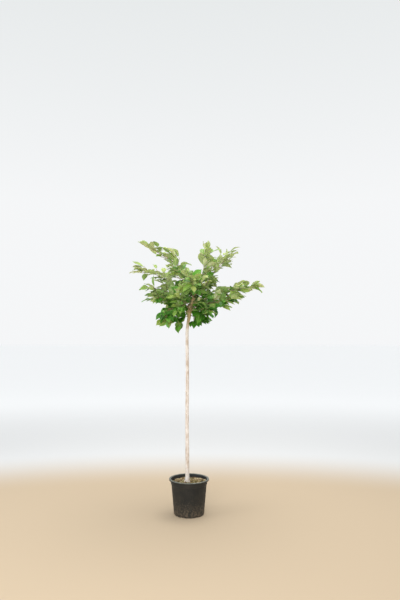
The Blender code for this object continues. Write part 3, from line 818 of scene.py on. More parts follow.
def stem_radius(height):
    above = height - SOIL_TOP
    for (low, low_radius), (high, high_radius) in zip(STEM_STATIONS, STEM_STATIONS[1:]):
        if above <= high:
            return mix(low_radius, high_radius, max(above - low, 0.0) / (high - low))
    return STEM_STATIONS[-1][1]


def stem_heights(longest):
    """Ring heights: every station, with even steps between those that lie far apart."""
    heights = []
    for (low, _), (high, _) in zip(STEM_STATIONS, STEM_STATIONS[1:]):
        steps = max(1, round((high - low) / longest))
        heights += [mix(low, high, step / steps) for step in range(steps)]
    heights.append(STEM_STATIONS[-1][0])
    return [SOIL_TOP + GAP + above for above in heights]


def stem_solid(extra=0.0, longest=STEM_STEP, sides=STEM_SIDES, relief=None):
    heights = stem_heights(longest)

    def flare(index, turn):
        fade = max(0.0, 1 - (heights[index] - SOIL_TOP) / ROOT_FLARE_HEIGHT)
        lobes = 1 + ROOT_FLARE_SHARE * fade * math.cos(ROOT_FLARE_LOBES * turn + ROOT_FLARE_TURN)
        return lobes * (relief(heights[index], turn) if relief else 1.0)

    points = [stem_axis(height) for height in heights]
    radii = [stem_radius(height) + extra for height in heights]
    fork, fork_radius = points[-1], radii[-1]
    for rise, share in STEM_ROUND_TOP:
        points.append(fork + Vector((0, 0, fork_radius * rise)))
        heights.append(points[-1].z)
        radii.append(fork_radius * share)
    return swept(points, radii, sides, flare)


def stub_solid(height, heading, length, radius, sides=BOUGH_SIDES):
    start = stem_axis(height)
    run = heading_vector(heading, STUB_PITCH)
    points = [start + run * length * along for along, _ in STUB_STATIONS]
    return swept(points, [radius * share for _, share in STUB_STATIONS], sides)


print("stem runs from", SOIL_TOP, "to", FORK_HEIGHT, "m")

# %% [markdown]
# Cherry bark is smooth and satiny, with three kinds of relief. Level corky lines, the lenticels,
# run part of the way round it. Old bud scars sit on slight rings every few centimetres. Fine
# lengthwise cracks break the surface. All are in the mesh here, because the outline shows them,
# and only the finest grain is left to the finish.

# %% Bark relief
BARK_STEP = 0.0014
BARK_SIDES = 56
LENTICEL_COUNT = 560
LENTICEL_LIFT = 0.00030
LENTICEL_HALF_HEIGHT = 0.0007
LENTICEL_HALF_TURN = (0.12, 0.5)
LENTICEL_STRENGTH = (0.5, 1.0)
LENTICEL_ROW = 0.005
SCAR_STEP = 0.058
SCAR_SPREAD = (0.75, 1.3)
SCAR_LIFT = 0.00085
SCAR_RING = 0.28
SCAR_HALF_HEIGHT = 0.0042
CRACK_DEPTH = 0.00022
CRACK_FROM = 0.1
LUMP_DEPTH = 0.00035
# Lumps and cracks to a metre, across and along the limb.
LUMP_COUNTS = (60, 22)
CRACK_COUNTS = (420, 38)


def turn_between(first, second):
    return abs((first - second + math.pi) % math.tau - math.pi)


class Bark:
    """Relief of a rod's surface, given as a share of its radius at a height and a turn."""

    def __init__(self, seed, low, high, lenticels, scar_step):
        rng = random.Random(seed)
        self.rows = {}
        for _ in range(lenticels):
            height = rng.uniform(low, high)
            turn = rng.uniform(0, math.tau)
            line = (height, turn, rng.uniform(*LENTICEL_HALF_TURN), rng.uniform(*LENTICEL_STRENGTH))
            self.rows.setdefault(int(height / LENTICEL_ROW), []).append(line)
        self.scars = []
        height = low + scar_step
        while height < high:
            self.scars.append((height, rng.uniform(0, math.tau)))
            height += scar_step * rng.uniform(*SCAR_SPREAD)

    def lift(self, height, turn, radius):
        """How far the surface stands out of or sinks under its plain radius, in metres."""
        where = Vector((math.cos(turn), math.sin(turn), 0)) * radius
        across, along = LUMP_COUNTS
        out = LUMP_DEPTH * noise.noise(Vector((where.x * across, where.y * across, height * along)))
        across, along = CRACK_COUNTS
        crack = noise.noise(Vector((where.x * across, where.y * across, height * along + 5)))
        out -= CRACK_DEPTH * max(0.0, crack - CRACK_FROM) * 2.2
        row = int(height / LENTICEL_ROW)
        for near in (row - 1, row, row + 1):
            for line_height, line_turn, half, strength in self.rows.get(near, ()):
                rise = abs(height - line_height) / LENTICEL_HALF_HEIGHT
                side = turn_between(turn, line_turn) / half
                if rise < 2 and side < 1.3:
                    fade = 1 - smooth_step((side - 0.5) / 0.8)
                    out += LENTICEL_LIFT * strength * math.exp(-rise * rise) * fade
        for scar_height, scar_turn in self.scars:
            rise = (height - scar_height) / SCAR_HALF_HEIGHT
            if abs(rise) < 2.6:
                side = turn_between(turn, scar_turn)
                out += SCAR_LIFT * math.exp(-rise * rise) * (SCAR_RING + math.exp(-side * side * 3))
        return out


print("lenticels stand", LENTICEL_LIFT * 1000, "mm proud of the bark")

# %% Bark of the stem
SNAG_HEIGHT = 0.800
SNAG_OFF = (0.009, 0.003, 0)
SNAG_HEADING = 200
SNAG_PITCH = 35
SNAG_LENGTH = 0.0085
SNAG_STATIONS = ((0.0, 0.0034), (0.35, 0.0026), (0.7, 0.0020), (1.0, 0.0011))


def stem_bark():
    bark = Bark(5, SOIL_TOP, FORK_HEIGHT, LENTICEL_COUNT, SCAR_STEP)

    def relief(height, turn):
        radius = stem_radius(height)
        return 1 + bark.lift(height, turn, radius) / radius

    return stem_solid(0.0, BARK_STEP, BARK_SIDES, relief)


def snag():
    """The dry end of a little side shoot that was rubbed off, low on the clear stem."""
    start = stem_axis(SNAG_HEIGHT) - Vector(SNAG_OFF)
    run = heading_vector(SNAG_HEADING, SNAG_PITCH)
    points = [start + run * SNAG_LENGTH * share for share, _ in SNAG_STATIONS]
    return swept(points, [radius for _, radius in SNAG_STATIONS], 10)


stem_points, stem_faces = stem_bark()
stub_mesh = [stub_solid(*stub, sides=24) for stub in STUBS]
trunk_solid = joined([(stem_points, stem_faces), *stub_mesh, snag()])
print("bark relief on", len(stem_points), "points")

# %% [markdown]
# The bark's colour is a pale tan with a pinkish grey bloom in the light, and golden brown in the
# head, where it is younger and shaded. The lenticels are paler and level, so noise is squeezed in
# height for them, and stretched in height for the lengthwise streaks.

# %% Bark finish
HEAD_TINT_FROM = 1.19
HEAD_TINT_TO = 1.29
STREAK_SHARE = 0.55
BARK_GLOSS = 0.35
STEM_COLOURS = ((0.50, 0.40, 0.31), (0.71, 0.64, 0.58), (0.83, 0.79, 0.75), (0.62, 0.50, 0.40))
STEM_HEAD_COLOUR = (0.74, 0.58, 0.30)


def bark_finish(name, colours, roughness=0.62, head=None):
    """Streaked bark with level dashes. The colours are its dark, middle, pale and dash colour.

    Head is the golden colour that a stem takes in its crown.
    """
    dark, middle, pale, line = colours
    bark = Finish(name, roughness)
    bark.shader.inputs["Specular IOR Level"].default_value = BARK_GLOSS
    streaks = bark.grain(0.006, 5, (1, 1, 0.08))
    patches = bark.grain(0.030, 4)
    rest = bark.product(patches, 1 - STREAK_SHARE)
    mixed = bark.node("Math", operation="MULTIPLY_ADD")
    for socket, value in zip(mixed.inputs, (streaks, STREAK_SHARE, rest)):
        bark.feed(socket, value)
    base = bark.ramp(mixed.outputs[0], (0.38, dark), (0.50, middle), (0.62, pale))
    dashes = bark.between(bark.grain(0.010, 2, (0.9, 0.9, 7.0)), 0.60, 0.66)
    base = bark.blend(dashes, base, line)
    if head:
        rise = bark.between(bark.height(), HEAD_TINT_FROM, HEAD_TINT_TO)
        base = bark.blend(rise, base, bark.blend(streaks, tuple(value * 0.6 for value in head), head))
    bark.link(base, "Base Color")
    rough = bark.ramp(patches, (0.3, (roughness - 0.1,) * 3), (0.7, (roughness + 0.12,) * 3))
    bark.link(rough, "Roughness")
    return bark.bump(bark.grain(0.0016, 4, (1, 1, 0.25)), 0.00025).material


stem_bark_finish = bark_finish("pale stem bark", STEM_COLOURS, head=STEM_HEAD_COLOUR)
trunk_piece = add_piece("trunk_bark", *trunk_solid, [stem_bark_finish])
dress(trunk_piece, "bark", "trunk")

# %% [markdown]
# Two stubs stand on the head where old shoots were pruned away. A pruning cut shows pale wood with
# a darker heart and a rim of bark that has begun to roll over it. Each is a shallow turned disc set
# on its stub's end, which catches the light in the photograph.

# %% Pruning cuts
CUT_RINGS = 7
CUT_SIDES = 28
CUT_WIDTH = 0.86
CUT_LIFT = 0.0004
CUT_BACK = 0.002
# The rolled rim: the shares of the radius where it rises and falls, and by how much.
CUT_RIM_RISE = (0.72, 0.2, 0.0005)
CUT_RIM_FALL = (0.92, 0.08, 0.0012)


def eased(share, rule):
    """A smooth change of height that starts at one share and takes another to be whole."""
    start, over, much = rule
    return much * smooth_step((share - start) / over)


def cut_face(height, heading, length, radius):
    run = heading_vector(heading, STUB_PITCH)
    centre = stem_axis(height) + run * length
    side = run.orthogonal().normalized()
    other = run.cross(side)
    points = [centre + run * CUT_LIFT]
    faces = []
    for ring in range(1, CUT_RINGS + 1):
        share = ring / CUT_RINGS
        lift = CUT_LIFT + eased(share, CUT_RIM_RISE) - eased(share, CUT_RIM_FALL)
        for step in range(CUT_SIDES):
            turn = math.tau * step / CUT_SIDES
            reach = radius * CUT_WIDTH * share
            points.append(centre + run * lift + (side * math.cos(turn) + other * math.sin(turn)) * reach)
    for step in range(CUT_SIDES):
        following = (step + 1) % CUT_SIDES
        faces.append((0, 1 + step, 1 + following))
        for ring in range(CUT_RINGS - 1):
            low = 1 + ring * CUT_SIDES
            high = low + CUT_SIDES
            faces.append((low + step, high + step, high + following, low + following))
    back = len(points)
    points.append(centre - run * CUT_BACK)
    last = 1 + (CUT_RINGS - 1) * CUT_SIDES
    faces += [(back, last + (step + 1) % CUT_SIDES, last + step) for step in range(CUT_SIDES)]
    return points, faces


def cut_wood():
    wood = Finish("pale cut wood", roughness=0.7)
    colour = wood.ramp(wood.grain(0.004, 4), (0.35, (0.74, 0.57, 0.38)), (0.6, (0.94, 0.84, 0.66)))
    wood.link(colour, "Base Color")
    return wood.bump(wood.grain(0.001, 3), 0.0002).material


cuts = add_piece("pruning_cuts", *joined([cut_face(*stub) for stub in STUBS]), [cut_wood()])
dress(cuts, "bark", "trunk")

# %% [markdown]
# The head is sixteen slim boughs and two small tufts on the stem. Every one is a leader on a smooth
# curve, bare at first and leafy further out. The plain model's table of leaders is repeated here
# with its seeds, so that what grows below grows along the same lines.

# %% Table of shoots
Shoot = namedtuple(
    "Shoot",
    "name root heading reach rise start end share radius twigs droop room seed",
)

SHOOTS = (
    Shoot("high_left", 1.420, 190, 0.285, 0.305, 82, 20, 0.30, 0.0046, 4, 0.20, 0.12, 28),
    Shoot("mid_left", 1.392, 160, 0.350, 0.228, 45, 28, 0.30, 0.0044, 4, 0.30, 0.11, 25),
    Shoot("left", 1.338, 178, 0.265, 0.140, 48, 4, 0.26, 0.0046, 3, 0.35, 0.11, 107),
    Shoot("low_left", 1.325, 205, 0.250, 0.095, 38, 0, 0.26, 0.0046, 3, 0.35, 0.11, 238),
    Shoot("front_left", 1.315, 232, 0.295, -0.020, 22, -28, 0.26, 0.0046, 3, 0.50, 0.12, 162),
    Shoot("front_right", 1.312, 295, 0.250, -0.014, 22, -25, 0.26, 0.0046, 3, 0.55, 0.12, 106),
    Shoot("low_right", 1.322, 339, 0.285, 0.060, 28, -6, 0.26, 0.0046, 4, 0.45, 0.12, 78),
    Shoot("right", 1.338, 7, 0.435, 0.150, 38, 8, 0.28, 0.0050, 5, 0.30, 0.11, 65),
    Shoot("high_right", 1.385, 21, 0.275, 0.325, 48, 44, 0.28, 0.0050, 4, 0.25, 0.11, 194),
    Shoot("top", 1.420, 338, 0.100, 0.292, 46, 84, 0.30, 0.0046, 3, 0.20, 0.10, 238),
    Shoot("back_left", 1.404, 112, 0.310, 0.190, 58, 20, 0.30, 0.0044, 4, 0.30, 0.13, 187),
    Shoot("back_right", 1.368, 64, 0.320, 0.180, 52, 16, 0.30, 0.0046, 4, 0.30, 0.13, 45),
    Shoot("back_low_left", 1.330, 132, 0.290, 0.070, 34, 0, 0.28, 0.0046, 3, 0.45, 0.12, 65),
    Shoot("back_low_right", 1.326, 46, 0.290, 0.070, 32, 2, 0.28, 0.0046, 3, 0.45, 0.12, 204),
    Shoot("front_high", 1.400, 272, 0.270, 0.110, 56, 6, 0.30, 0.0042, 4, 0.35, 0.12, 211),
    Shoot("front_low", 1.330, 262, 0.240, 0.035, 30, -10, 0.28, 0.0044, 3, 0.45, 0.12, 197),
    Shoot("tuft_left", 1.288, 215, 0.100, -0.016, 20, -30, 0.0, 0.0024, 0, 1.10, 0.13, 236),
    Shoot("tuft_right", 1.294, 315, 0.100, -0.016, 20, -30, 0.0, 0.0024, 0, 1.10, 0.13, 5),
)
LIMBS = [shoot for shoot in SHOOTS if shoot.share]
print(len(LIMBS), "boughs, and", len(SHOOTS) - len(LIMBS), "tufts on the stem itself")

# %% Lines of the shoots
PATH_STEPS = 48
PATH_HANDLE = 0.38
PATH_WAVE = 0.006
PATH_WAVE_TURN = 7
PATH_LOOK = 0.002


def shoot_path(shoot):
    """Evenly spaced points from the stem's axis to the tip of the shoot's leader."""
    start = stem_axis(shoot.root)
    tip = start + heading_vector(shoot.heading) * shoot.reach + Vector((0, 0, shoot.rise))
    handle = (tip - start).length * PATH_HANDLE
    out = start + heading_vector(shoot.heading, shoot.start) * handle
    back = tip - heading_vector(shoot.heading, shoot.end) * handle
    curve = interpolate_bezier(start, out, back, tip, PATH_STEPS)
    side = heading_vector(shoot.heading + 90)
    phase = math.radians(shoot.heading * 5)
    for index, point in enumerate(curve):
        share = index / (PATH_STEPS - 1)
        swell = 4 * share * (1 - share)
        curve[index] = point + side * PATH_WAVE * swell * math.sin(phase + PATH_WAVE_TURN * share)
    return curve


def length_of(points):
    return sum((after - before).length for before, after in zip(points, points[1:]))


def stretch(points, start, end, step):
    """Points every step or so along a path, between two lengths from its beginning."""
    count = max(2, round((end - start) / step) + 1)
    wanted = [mix(start, end, index / (count - 1)) for index in range(count)]
    found = []
    walked = 0.0
    for before, after in zip(points, points[1:]):
        piece = (after - before).length
        while wanted and wanted[0] <= walked + piece + 1e-9:
            found.append(before.lerp(after, (wanted.pop(0) - walked) / piece))
        walked += piece
    found += [points[-1]] * len(wanted)
    return found


def direction_at(path, distance):
    """The way a path runs at this length from its beginning."""
    before, after = stretch(path, distance - PATH_LOOK, distance + PATH_LOOK, 2 * PATH_LOOK)
    return (after - before).normalized()


print("longest line is", round(max(length_of(shoot_path(shoot)) for shoot in SHOOTS), 3), "m")

# %% Plain boughs
BOUGH_STEP = 0.026
BOUGH_COLLAR = 1.25
BOUGH_COLLAR_LENGTH = 0.032
BOUGH_TIP_RADIUS = 0.0033


def bough_radius(shoot, walked, end):
    radius = mix(shoot.radius, BOUGH_TIP_RADIUS, walked / end)
    collar = max(0.0, 1 - walked / BOUGH_COLLAR_LENGTH)
    return radius * mix(1.0, BOUGH_COLLAR, collar)


def bough_solid(shoot, extra=0.0):
    path = shoot_path(shoot)
    end = length_of(path) * shoot.share
    points = stretch(path, 0.0, end, BOUGH_STEP)
    last = len(points) - 1
    radii = [bough_radius(shoot, end * index / last, end) + extra for index in range(len(points))]
    return swept(points, radii, BOUGH_SIDES, last=direction_at(path, end))


print("plain boughs have", sum(len(bough_solid(shoot)[1]) for shoot in LIMBS), "faces")

# %% [markdown]
# A bough's bark is like the stem's on a smaller scale. Each bough starts inside the stem, so that
# its collar grows out of the swollen head, and runs on past the point where its mass begins, where
# the leafy leader takes it over without a step.

# %% Boughs
LIMB_STEP = 0.0016
LIMB_SIDES = 26
LIMB_OVERLAP = 0.004
LIMB_RELIEF = 0.6
LIMB_LENTICELS = 900
LIMB_SCAR_STEP = 0.026
LIMB_COLOURS = ((0.24, 0.165, 0.070), (0.44, 0.335, 0.160), (0.62, 0.50, 0.29), (0.66, 0.55, 0.36))


def bough_bark(shoot):
    path = shoot_path(shoot)
    end = length_of(path) * shoot.share
    bark = Bark(shoot.seed, 0.0, end, round(end * LIMB_LENTICELS), LIMB_SCAR_STEP)
    points = stretch(path, 0.0, end + LIMB_OVERLAP, LIMB_STEP)
    walked = [(end + LIMB_OVERLAP) * index / (len(points) - 1) for index in range(len(points))]
    radii = [bough_radius(shoot, min(distance, end), end) for distance in walked]

    def relief(index, turn):
        return 1 + LIMB_RELIEF * bark.lift(walked[index], turn, radii[index]) / radii[index]

    return swept(points, radii, LIMB_SIDES, relief)


limb_bark_finish = bark_finish("golden brown bough bark", LIMB_COLOURS, 0.55)
boughs = add_piece("bough_bark", *joined([bough_bark(shoot) for shoot in LIMBS]), [limb_bark_finish])
dress(boughs, "bark", *["bough_" + shoot.name for shoot in LIMBS])

# %% [markdown]
# Now the leafy growth. The rule is the plain model's own, with the same seeds: side twigs leave a
# leader at a golden angle, leaves follow each twig in a spiral, and whatever would touch another
# piece or leave the mass is turned on or skipped. So each fine leaf lands where a plain one was.

# %% Plain leaf
LEAF_THICKNESS = 0.018
LEAF_NECK = 0.0008
# Each station has its distance, half width and lift, as shares of the leaf's length.
LEAF_STATIONS = ((0.42, 0.240, 0.02), (0.74, 0.170, 0.0))
LEAF_TIP_FALL = 0.09


def leaf_solid(root, along, up, length, width=1.0, extra=0.0):
    """The plain leaf, used here only to find room for the fine one."""
    side = along.cross(up).normalized()
    up = side.cross(along).normalized()
    points = [root + up * (LEAF_NECK + extra), root - up * (LEAF_NECK + extra)]
    for distance, half_width, lift in LEAF_STATIONS:
        centre = root + along * distance * length + up * (lift * length + extra)
        half = half_width * width * length + extra
        points.append(centre + side * half)
        points.append(centre - side * half)
        points.append(centre - up * (LEAF_THICKNESS * length + 2 * extra))
    points.append(root + along * (length + extra) - up * LEAF_TIP_FALL * length)
    faces = [(0, 2, 3), (0, 1, 2), (1, 4, 2), (0, 3, 1), (1, 3, 4)]
    for step in range(3):
        following = (step + 1) % 3
        faces.append((2 + step, 2 + following, 5 + following))
        faces.append((2 + step, 5 + following, 5 + step))
        faces.append((5 + step, 5 + following, 8))
    return points, faces


print("plain leaf has", len(leaf_solid(Vector(), Vector((1, 0, 0)), Z_UP, 0.1)[1]), "faces")

# %% [markdown]
# No twig or leaf may cut through another. Blender's BVHTree tells quickly whether two solids touch,
# so each one that is placed is kept with its tree, and a new one is tried against those close by.
# What grows on a twig may touch that twig, so every solid is kept under its owner's name.


# %% Room
class Room:
    """The solids placed so far, which no new twig or leaf may touch."""

    def __init__(self):
        self.taken = []

    def add(self, solid, owner):
        centre = sum(solid[0], Vector()) / len(solid[0])
        radius = max((point - centre).length for point in solid[0])
        self.taken.append((centre, radius, BVHTree.FromPolygons(*solid), owner))

    def free(self, solid, beside):
        """True where the solid touches nothing but the pieces that it grows on."""
        centre = sum(solid[0], Vector()) / len(solid[0])
        radius = max((point - centre).length for point in solid[0])
        tree = BVHTree.FromPolygons(*solid)
        for other_centre, other_radius, other_tree, owner in self.taken:
            if owner in beside or (other_centre - centre).length > radius + other_radius:
                continue
            if tree.overlap(other_tree):
                return False
        return True


def off_line(point, line):
    return min((point - other).length for other in line)


print("room starts with", len(Room().taken), "solids")

# %% Where a leaf points
LEAF_LENGTH = 0.101
LEAF_OPENING = 58
LEAF_OPENING_SPREAD = 9
LEAF_OPENING_YOUNG = 0.55
LEAF_FLATTEN = 0.45
LEAF_FACE_OUT = 0.55
LEAF_SCATTER = 0.70
LEAF_YOUNG = 0.74
LEAF_LENGTH_SPREAD = (0.84, 1.12)
LEAF_DROOP_YOUNG = 0.35
LEAF_DROOP_SPREAD = (0.5, 1.3)
LEAF_SINK = 0.0002
END_LEAF_SPREAD = 0.25
END_LEAF_SINK = 0.0040


def tilted_up(spot, rng):
    """Which way a leaf's upper face looks: up, out from the crown's middle, and a little at random."""
    away = Vector((spot.x, spot.y, 0)).normalized()
    scatter = Vector([rng.uniform(-LEAF_SCATTER, LEAF_SCATTER) for _ in range(3)])
    return Vector((0, 0, 1)) + away * LEAF_FACE_OUT + scatter


def side_leaf(spot, tangent, side, turn, shoot, age, rng):
    """Root, direction, up vector and length of a leaf on the side of a twig."""
    out = Matrix.Rotation(turn, 3, tangent) @ side
    out.z *= LEAF_FLATTEN
    opening = LEAF_OPENING * mix(LEAF_OPENING_YOUNG, 1.0, age)
    opening = math.radians(opening + rng.uniform(-LEAF_OPENING_SPREAD, LEAF_OPENING_SPREAD))
    along = tangent * math.cos(opening) + out.normalized() * math.sin(opening)
    along.z -= shoot.droop * mix(LEAF_DROOP_YOUNG, 1.0, age) * rng.uniform(*LEAF_DROOP_SPREAD)
    along.normalize()
    length = LEAF_LENGTH * mix(LEAF_YOUNG, 1.0, age) * rng.uniform(*LEAF_LENGTH_SPREAD)
    return spot - along * LEAF_SINK, along, tilted_up(spot, rng), length


def end_leaf(spot, tangent, rng):
    """The youngest leaf, which carries its twig's line on."""
    along = tangent + Vector([rng.uniform(-END_LEAF_SPREAD, END_LEAF_SPREAD) for _ in range(3)])
    along.normalize()
    length = LEAF_LENGTH * LEAF_YOUNG + END_LEAF_SINK
    return spot - tangent * END_LEAF_SINK, along, tilted_up(spot, rng), length


print("plain leaves are about", round(LEAF_LENGTH * 1000), "mm long")

# %% Leaves of one twig
LEAF_SPACING = 0.029
LEAF_TURN = 137.5
LEAF_RETRY = 40
TRIES = 8
# A guard is a slightly larger solid than what it stands for, bare at its root, which keeps it clear.
GUARD = 0.0008
GUARD_LEAF_START = 0.2
GUARD_LEAF_WIDTH = 1.2

Leaf = namedtuple("Leaf", "root along up length age shoot spray")


def put_leaves(points, first, shoot, beside, room, leader, rng, spray):
    """Leaves along one twig in a spiral, and one at its tip. A leaf that finds no room is skipped."""
    total = length_of(points)
    count = max(1, round((total - first) / LEAF_SPACING))
    frames = frames_along(points)
    turn = rng.uniform(0, math.tau)
    leaves = []
    for number in range(count + 1):
        distance = mix(first, total, number / count)
        tangent, side = frames[round(distance / total * (len(points) - 1))]
        spot = stretch(points, distance, total, total)[0]
        age = 1 - number / count
        turn += math.radians(LEAF_TURN)
        for _ in range(TRIES):
            if number == count:
                leaf = end_leaf(spot, tangent, rng)
            else:
                leaf = side_leaf(spot, tangent, side, turn, shoot, age, rng)
            root, along, up, length = leaf
            bare = along * length * GUARD_LEAF_START
            rest = length * (1 - GUARD_LEAF_START)
            guard = leaf_solid(root + bare, along, up, rest, GUARD_LEAF_WIDTH, GUARD)
            solid = leaf_solid(*leaf)
            inside = off_line(root + along * length, leader) < shoot.room
            if inside and room.free(guard, beside) and room.free(solid, beside):
                room.add(solid, shoot.name)
                leaves.append(Leaf(*leaf, age, shoot, spray))
                break
            turn += math.radians(LEAF_RETRY)
    return leaves


print("a leaf every", round(LEAF_SPACING * 1000), "mm, each", LEAF_TURN, "degrees further round")

# %% Leader and side twigs
STEM_TWIG_TIP = 0.0019
LEADER_STEP = 0.045
TWIG_OPENING = 48
TWIG_OPENING_SPREAD = 8
TWIG_RISE = 0.30
TWIG_RISE_SPREAD = (-0.4, 1.0)
TWIG_LENGTH_SPREAD = (0.85, 1.15)
TWIG_LONG = 0.105
TWIG_SHORT = 0.050
TWIG_STRAIGHT = 0.964
TWIG_BEND = 0.18
TWIG_SINK = 0.0003


def leader_of(shoot):
    """The leader's points, radii and first direction, from its bough's tip or the stem to its own tip."""
    path = shoot_path(shoot)
    total = length_of(path)
    start = total * shoot.share + GAP
    base = BOUGH_TIP_RADIUS
    if shoot.share == 0.0:
        start = stem_radius(shoot.root) / 2
        base = shoot.radius
    points = stretch(path, start, total, LEADER_STEP)
    radii = [mix(base, STEM_TWIG_TIP, index / (len(points) - 1)) for index in range(len(points))]
    return points, radii, direction_at(path, total * shoot.share or start)


def side_twig(leader, share, turn, rng):
    """Three points of a short twig that leaves the leader at this share of its length."""
    run = length_of(leader)
    spot = stretch(leader, run * share, run, run)[0]
    tangent, side = frames_along(leader)[round(share * (len(leader) - 1))]
    out = Matrix.Rotation(turn, 3, tangent) @ side
    out.z *= LEAF_FLATTEN
    opening = math.radians(TWIG_OPENING + rng.uniform(-TWIG_OPENING_SPREAD, TWIG_OPENING_SPREAD))
    along = tangent * math.cos(opening) + out.normalized() * math.sin(opening)
    along.z += TWIG_RISE * rng.uniform(*TWIG_RISE_SPREAD)
    along.normalize()
    length = mix(TWIG_LONG, TWIG_SHORT, share) * rng.uniform(*TWIG_LENGTH_SPREAD)
    start = spot - along * TWIG_SINK
    tip = spot + (along * TWIG_STRAIGHT + tangent * TWIG_BEND) * length
    return [start, spot + along * length / 2, tip]


print("side twigs are", TWIG_SHORT * 1000, "to", TWIG_LONG * 1000, "mm long")

# %% One mass
TWIG_SIDES = 3
TWIG_BASE = 0.0023
TWIG_TIP = 0.0018
TWIG_FIRST = 0.10
TWIG_LAST = 0.78
TWIG_BARE = 0.022
LEADER_BARE = 0.012
GUARD_TWIG_START = 0.008

Twig = namedtuple("Twig", "points base tip leader")


def grow(shoot, room):
    """One mass: its twigs, the leader first, and its leaves."""
    rng = random.Random(shoot.seed)
    leader, radii, _ = leader_of(shoot)
    twigs = [Twig(leader, radii[0], radii[-1], True)]
    leader_name = shoot.name + " leader"
    leaves = []
    turn = rng.uniform(0, math.tau)
    for number in range(shoot.twigs):
        share = mix(TWIG_FIRST, TWIG_LAST, number / max(1, shoot.twigs - 1))
        for _ in range(TRIES):
            turn += math.radians(LEAF_TURN)
            points = side_twig(leader, share, turn, rng)
            away = (points[1] - points[0]).normalized() * GUARD_TWIG_START
            guard = swept([points[0] + away, *points[1:]], [TWIG_BASE + GUARD] * 3, TWIG_SIDES)
            twig = swept(points, [TWIG_BASE, (TWIG_BASE + TWIG_TIP) / 2, TWIG_TIP], TWIG_SIDES)
            inside = off_line(points[-1], leader) < shoot.room
            if inside and room.free(guard, (leader_name,)) and room.free(twig, (leader_name,)):
                name = shoot.name + " twig " + str(number)
                room.add(twig, name)
                twigs.append(Twig(points, TWIG_BASE, TWIG_TIP, False))
                beside = (name, leader_name)
                leaves += put_leaves(points, TWIG_BARE, shoot, beside, room, leader, rng, name)
                break
    leaves += put_leaves(leader, LEADER_BARE, shoot, (leader_name,), room, leader, rng, leader_name)
    return twigs, leaves


print("a mass grows from one seed, such as", SHOOTS[0].seed, "for", SHOOTS[0].name)

# %% Growing the plain model's leaves
STEM_TWIG_SIDES = 4


def room_among_limbs():
    """The room before any leaf grows: stem, boughs and leaders are there, a little stouter than real."""
    room = Room()
    room.add(stem_solid(GUARD), "stem")
    for height, heading, length, radius in STUBS:
        room.add(stub_solid(height, heading, length + GUARD, radius + GUARD), "stem")
    for shoot in SHOOTS:
        if shoot.share:
            room.add(bough_solid(shoot, GUARD), "bough")
        leader, radii, first = leader_of(shoot)
        stouter = [radius + GUARD for radius in radii]
        room.add(swept(leader, stouter, STEM_TWIG_SIDES, first=first), shoot.name + " leader")
    return room


room = room_among_limbs()
twigs = []
leaves = []
for shoot in SHOOTS:
    grown_twigs, grown_leaves = grow(shoot, room)
    twigs += [(shoot, twig) for twig in grown_twigs]
    leaves += grown_leaves
print(len(twigs), "twigs and", len(leaves), "leaves by the plain model's rule")

# %% [markdown]
# A real head has more growth than the plain model. Short spurs with a rosette of leaves sit along
# the boughs. Slim laterals leave each leader, and carry leaves in two ranks, left and right, which
# lie flat. Seen from the side, these flat sprays give the head its layers. The same test for room
# keeps every leaf and lateral clear of everything else and inside its mass, and every leaf's tip
# inside the plain model's box.
#
# A head is as much gap as leaf. Where sky shows through it, and in front of the bare limbs in its
# middle, no blade may grow. A gap is a ball's shadow: a place across and up as the camera sees it,
# and a radius.

# %% Gaps of sky
SKY_MARGIN = 0.004
# Each gap has its place across, its height and its radius, as seen in the stem's plane.
SKY_GAPS = {
    "between high_left and top": (-0.020, 1.780, 0.085),
    "between high_right and right": (0.380, 1.620, 0.090),
    "between top and right": (0.250, 1.545, 0.050),
    "between high_right and top": (0.235, 1.770, 0.035),
    "left of top": (0.040, 1.680, 0.035),
    "left of top's foot": (0.050, 1.610, 0.025),
    "over high_left": (-0.160, 1.780, 0.035),
    "outside high_left": (-0.330, 1.710, 0.045),
    "between high_left and mid_left": (-0.265, 1.685, 0.035),
    "under high_left": (-0.190, 1.640, 0.030),
    "over mid_left": (-0.270, 1.630, 0.020),
    "between mid_left and left": (-0.340, 1.510, 0.035),
    "under mid_left": (-0.260, 1.520, 0.020),
    "near the middle": (-0.075, 1.540, 0.020),
    "under left": (-0.270, 1.320, 0.055),
    "between left and front_left": (-0.200, 1.345, 0.030),
    "under low_right": (0.230, 1.280, 0.045),
    "under right": (0.360, 1.370, 0.030),
    "over right": (0.205, 1.495, 0.020),
}
# The window in front of the bare limbs.
WINDOW_FOOT = 1.235
WINDOW_TOP = 1.385
WINDOW_HALF = 0.009
WINDOW_BLADE = 0.11
# A blade is tried at these shares of its length.
BLADE_LOOKS = (0.35, 0.5, 0.65, 0.8, 0.95)


def seen_from_camera(spot):
    """Where a point shows across and up in the stem's plane, looking from the camera."""
    eye_x, eye_y, eye_z = CAMERA_PLACE
    scale = -eye_y / (spot.y - eye_y)
    return eye_x + (spot.x - eye_x) * scale, eye_z + (spot.z - eye_z) * scale


def in_the_way(root, along, length):
    """True where a blade would fill a gap of sky, or hang in front of the head's bare limbs."""
    for share in BLADE_LOOKS:
        spot = root + along * length * share
        x, z = seen_from_camera(spot)
        for gap_x, gap_z, radius in SKY_GAPS.values():
            if math.hypot(x - gap_x, z - gap_z) < radius + SKY_MARGIN:
                return True
        near = abs(spot.x - stem_axis(spot.z).x) < WINDOW_HALF + WINDOW_BLADE * length
        if near and spot.y < -WINDOW_HALF and WINDOW_FOOT < spot.z < WINDOW_TOP:
            return True
    return False


leaves = [leaf for leaf in leaves if not in_the_way(leaf.root, leaf.along, leaf.length)]
print(len(leaves), "leaves of the plain model stay, clear of the gaps and the bare limbs")

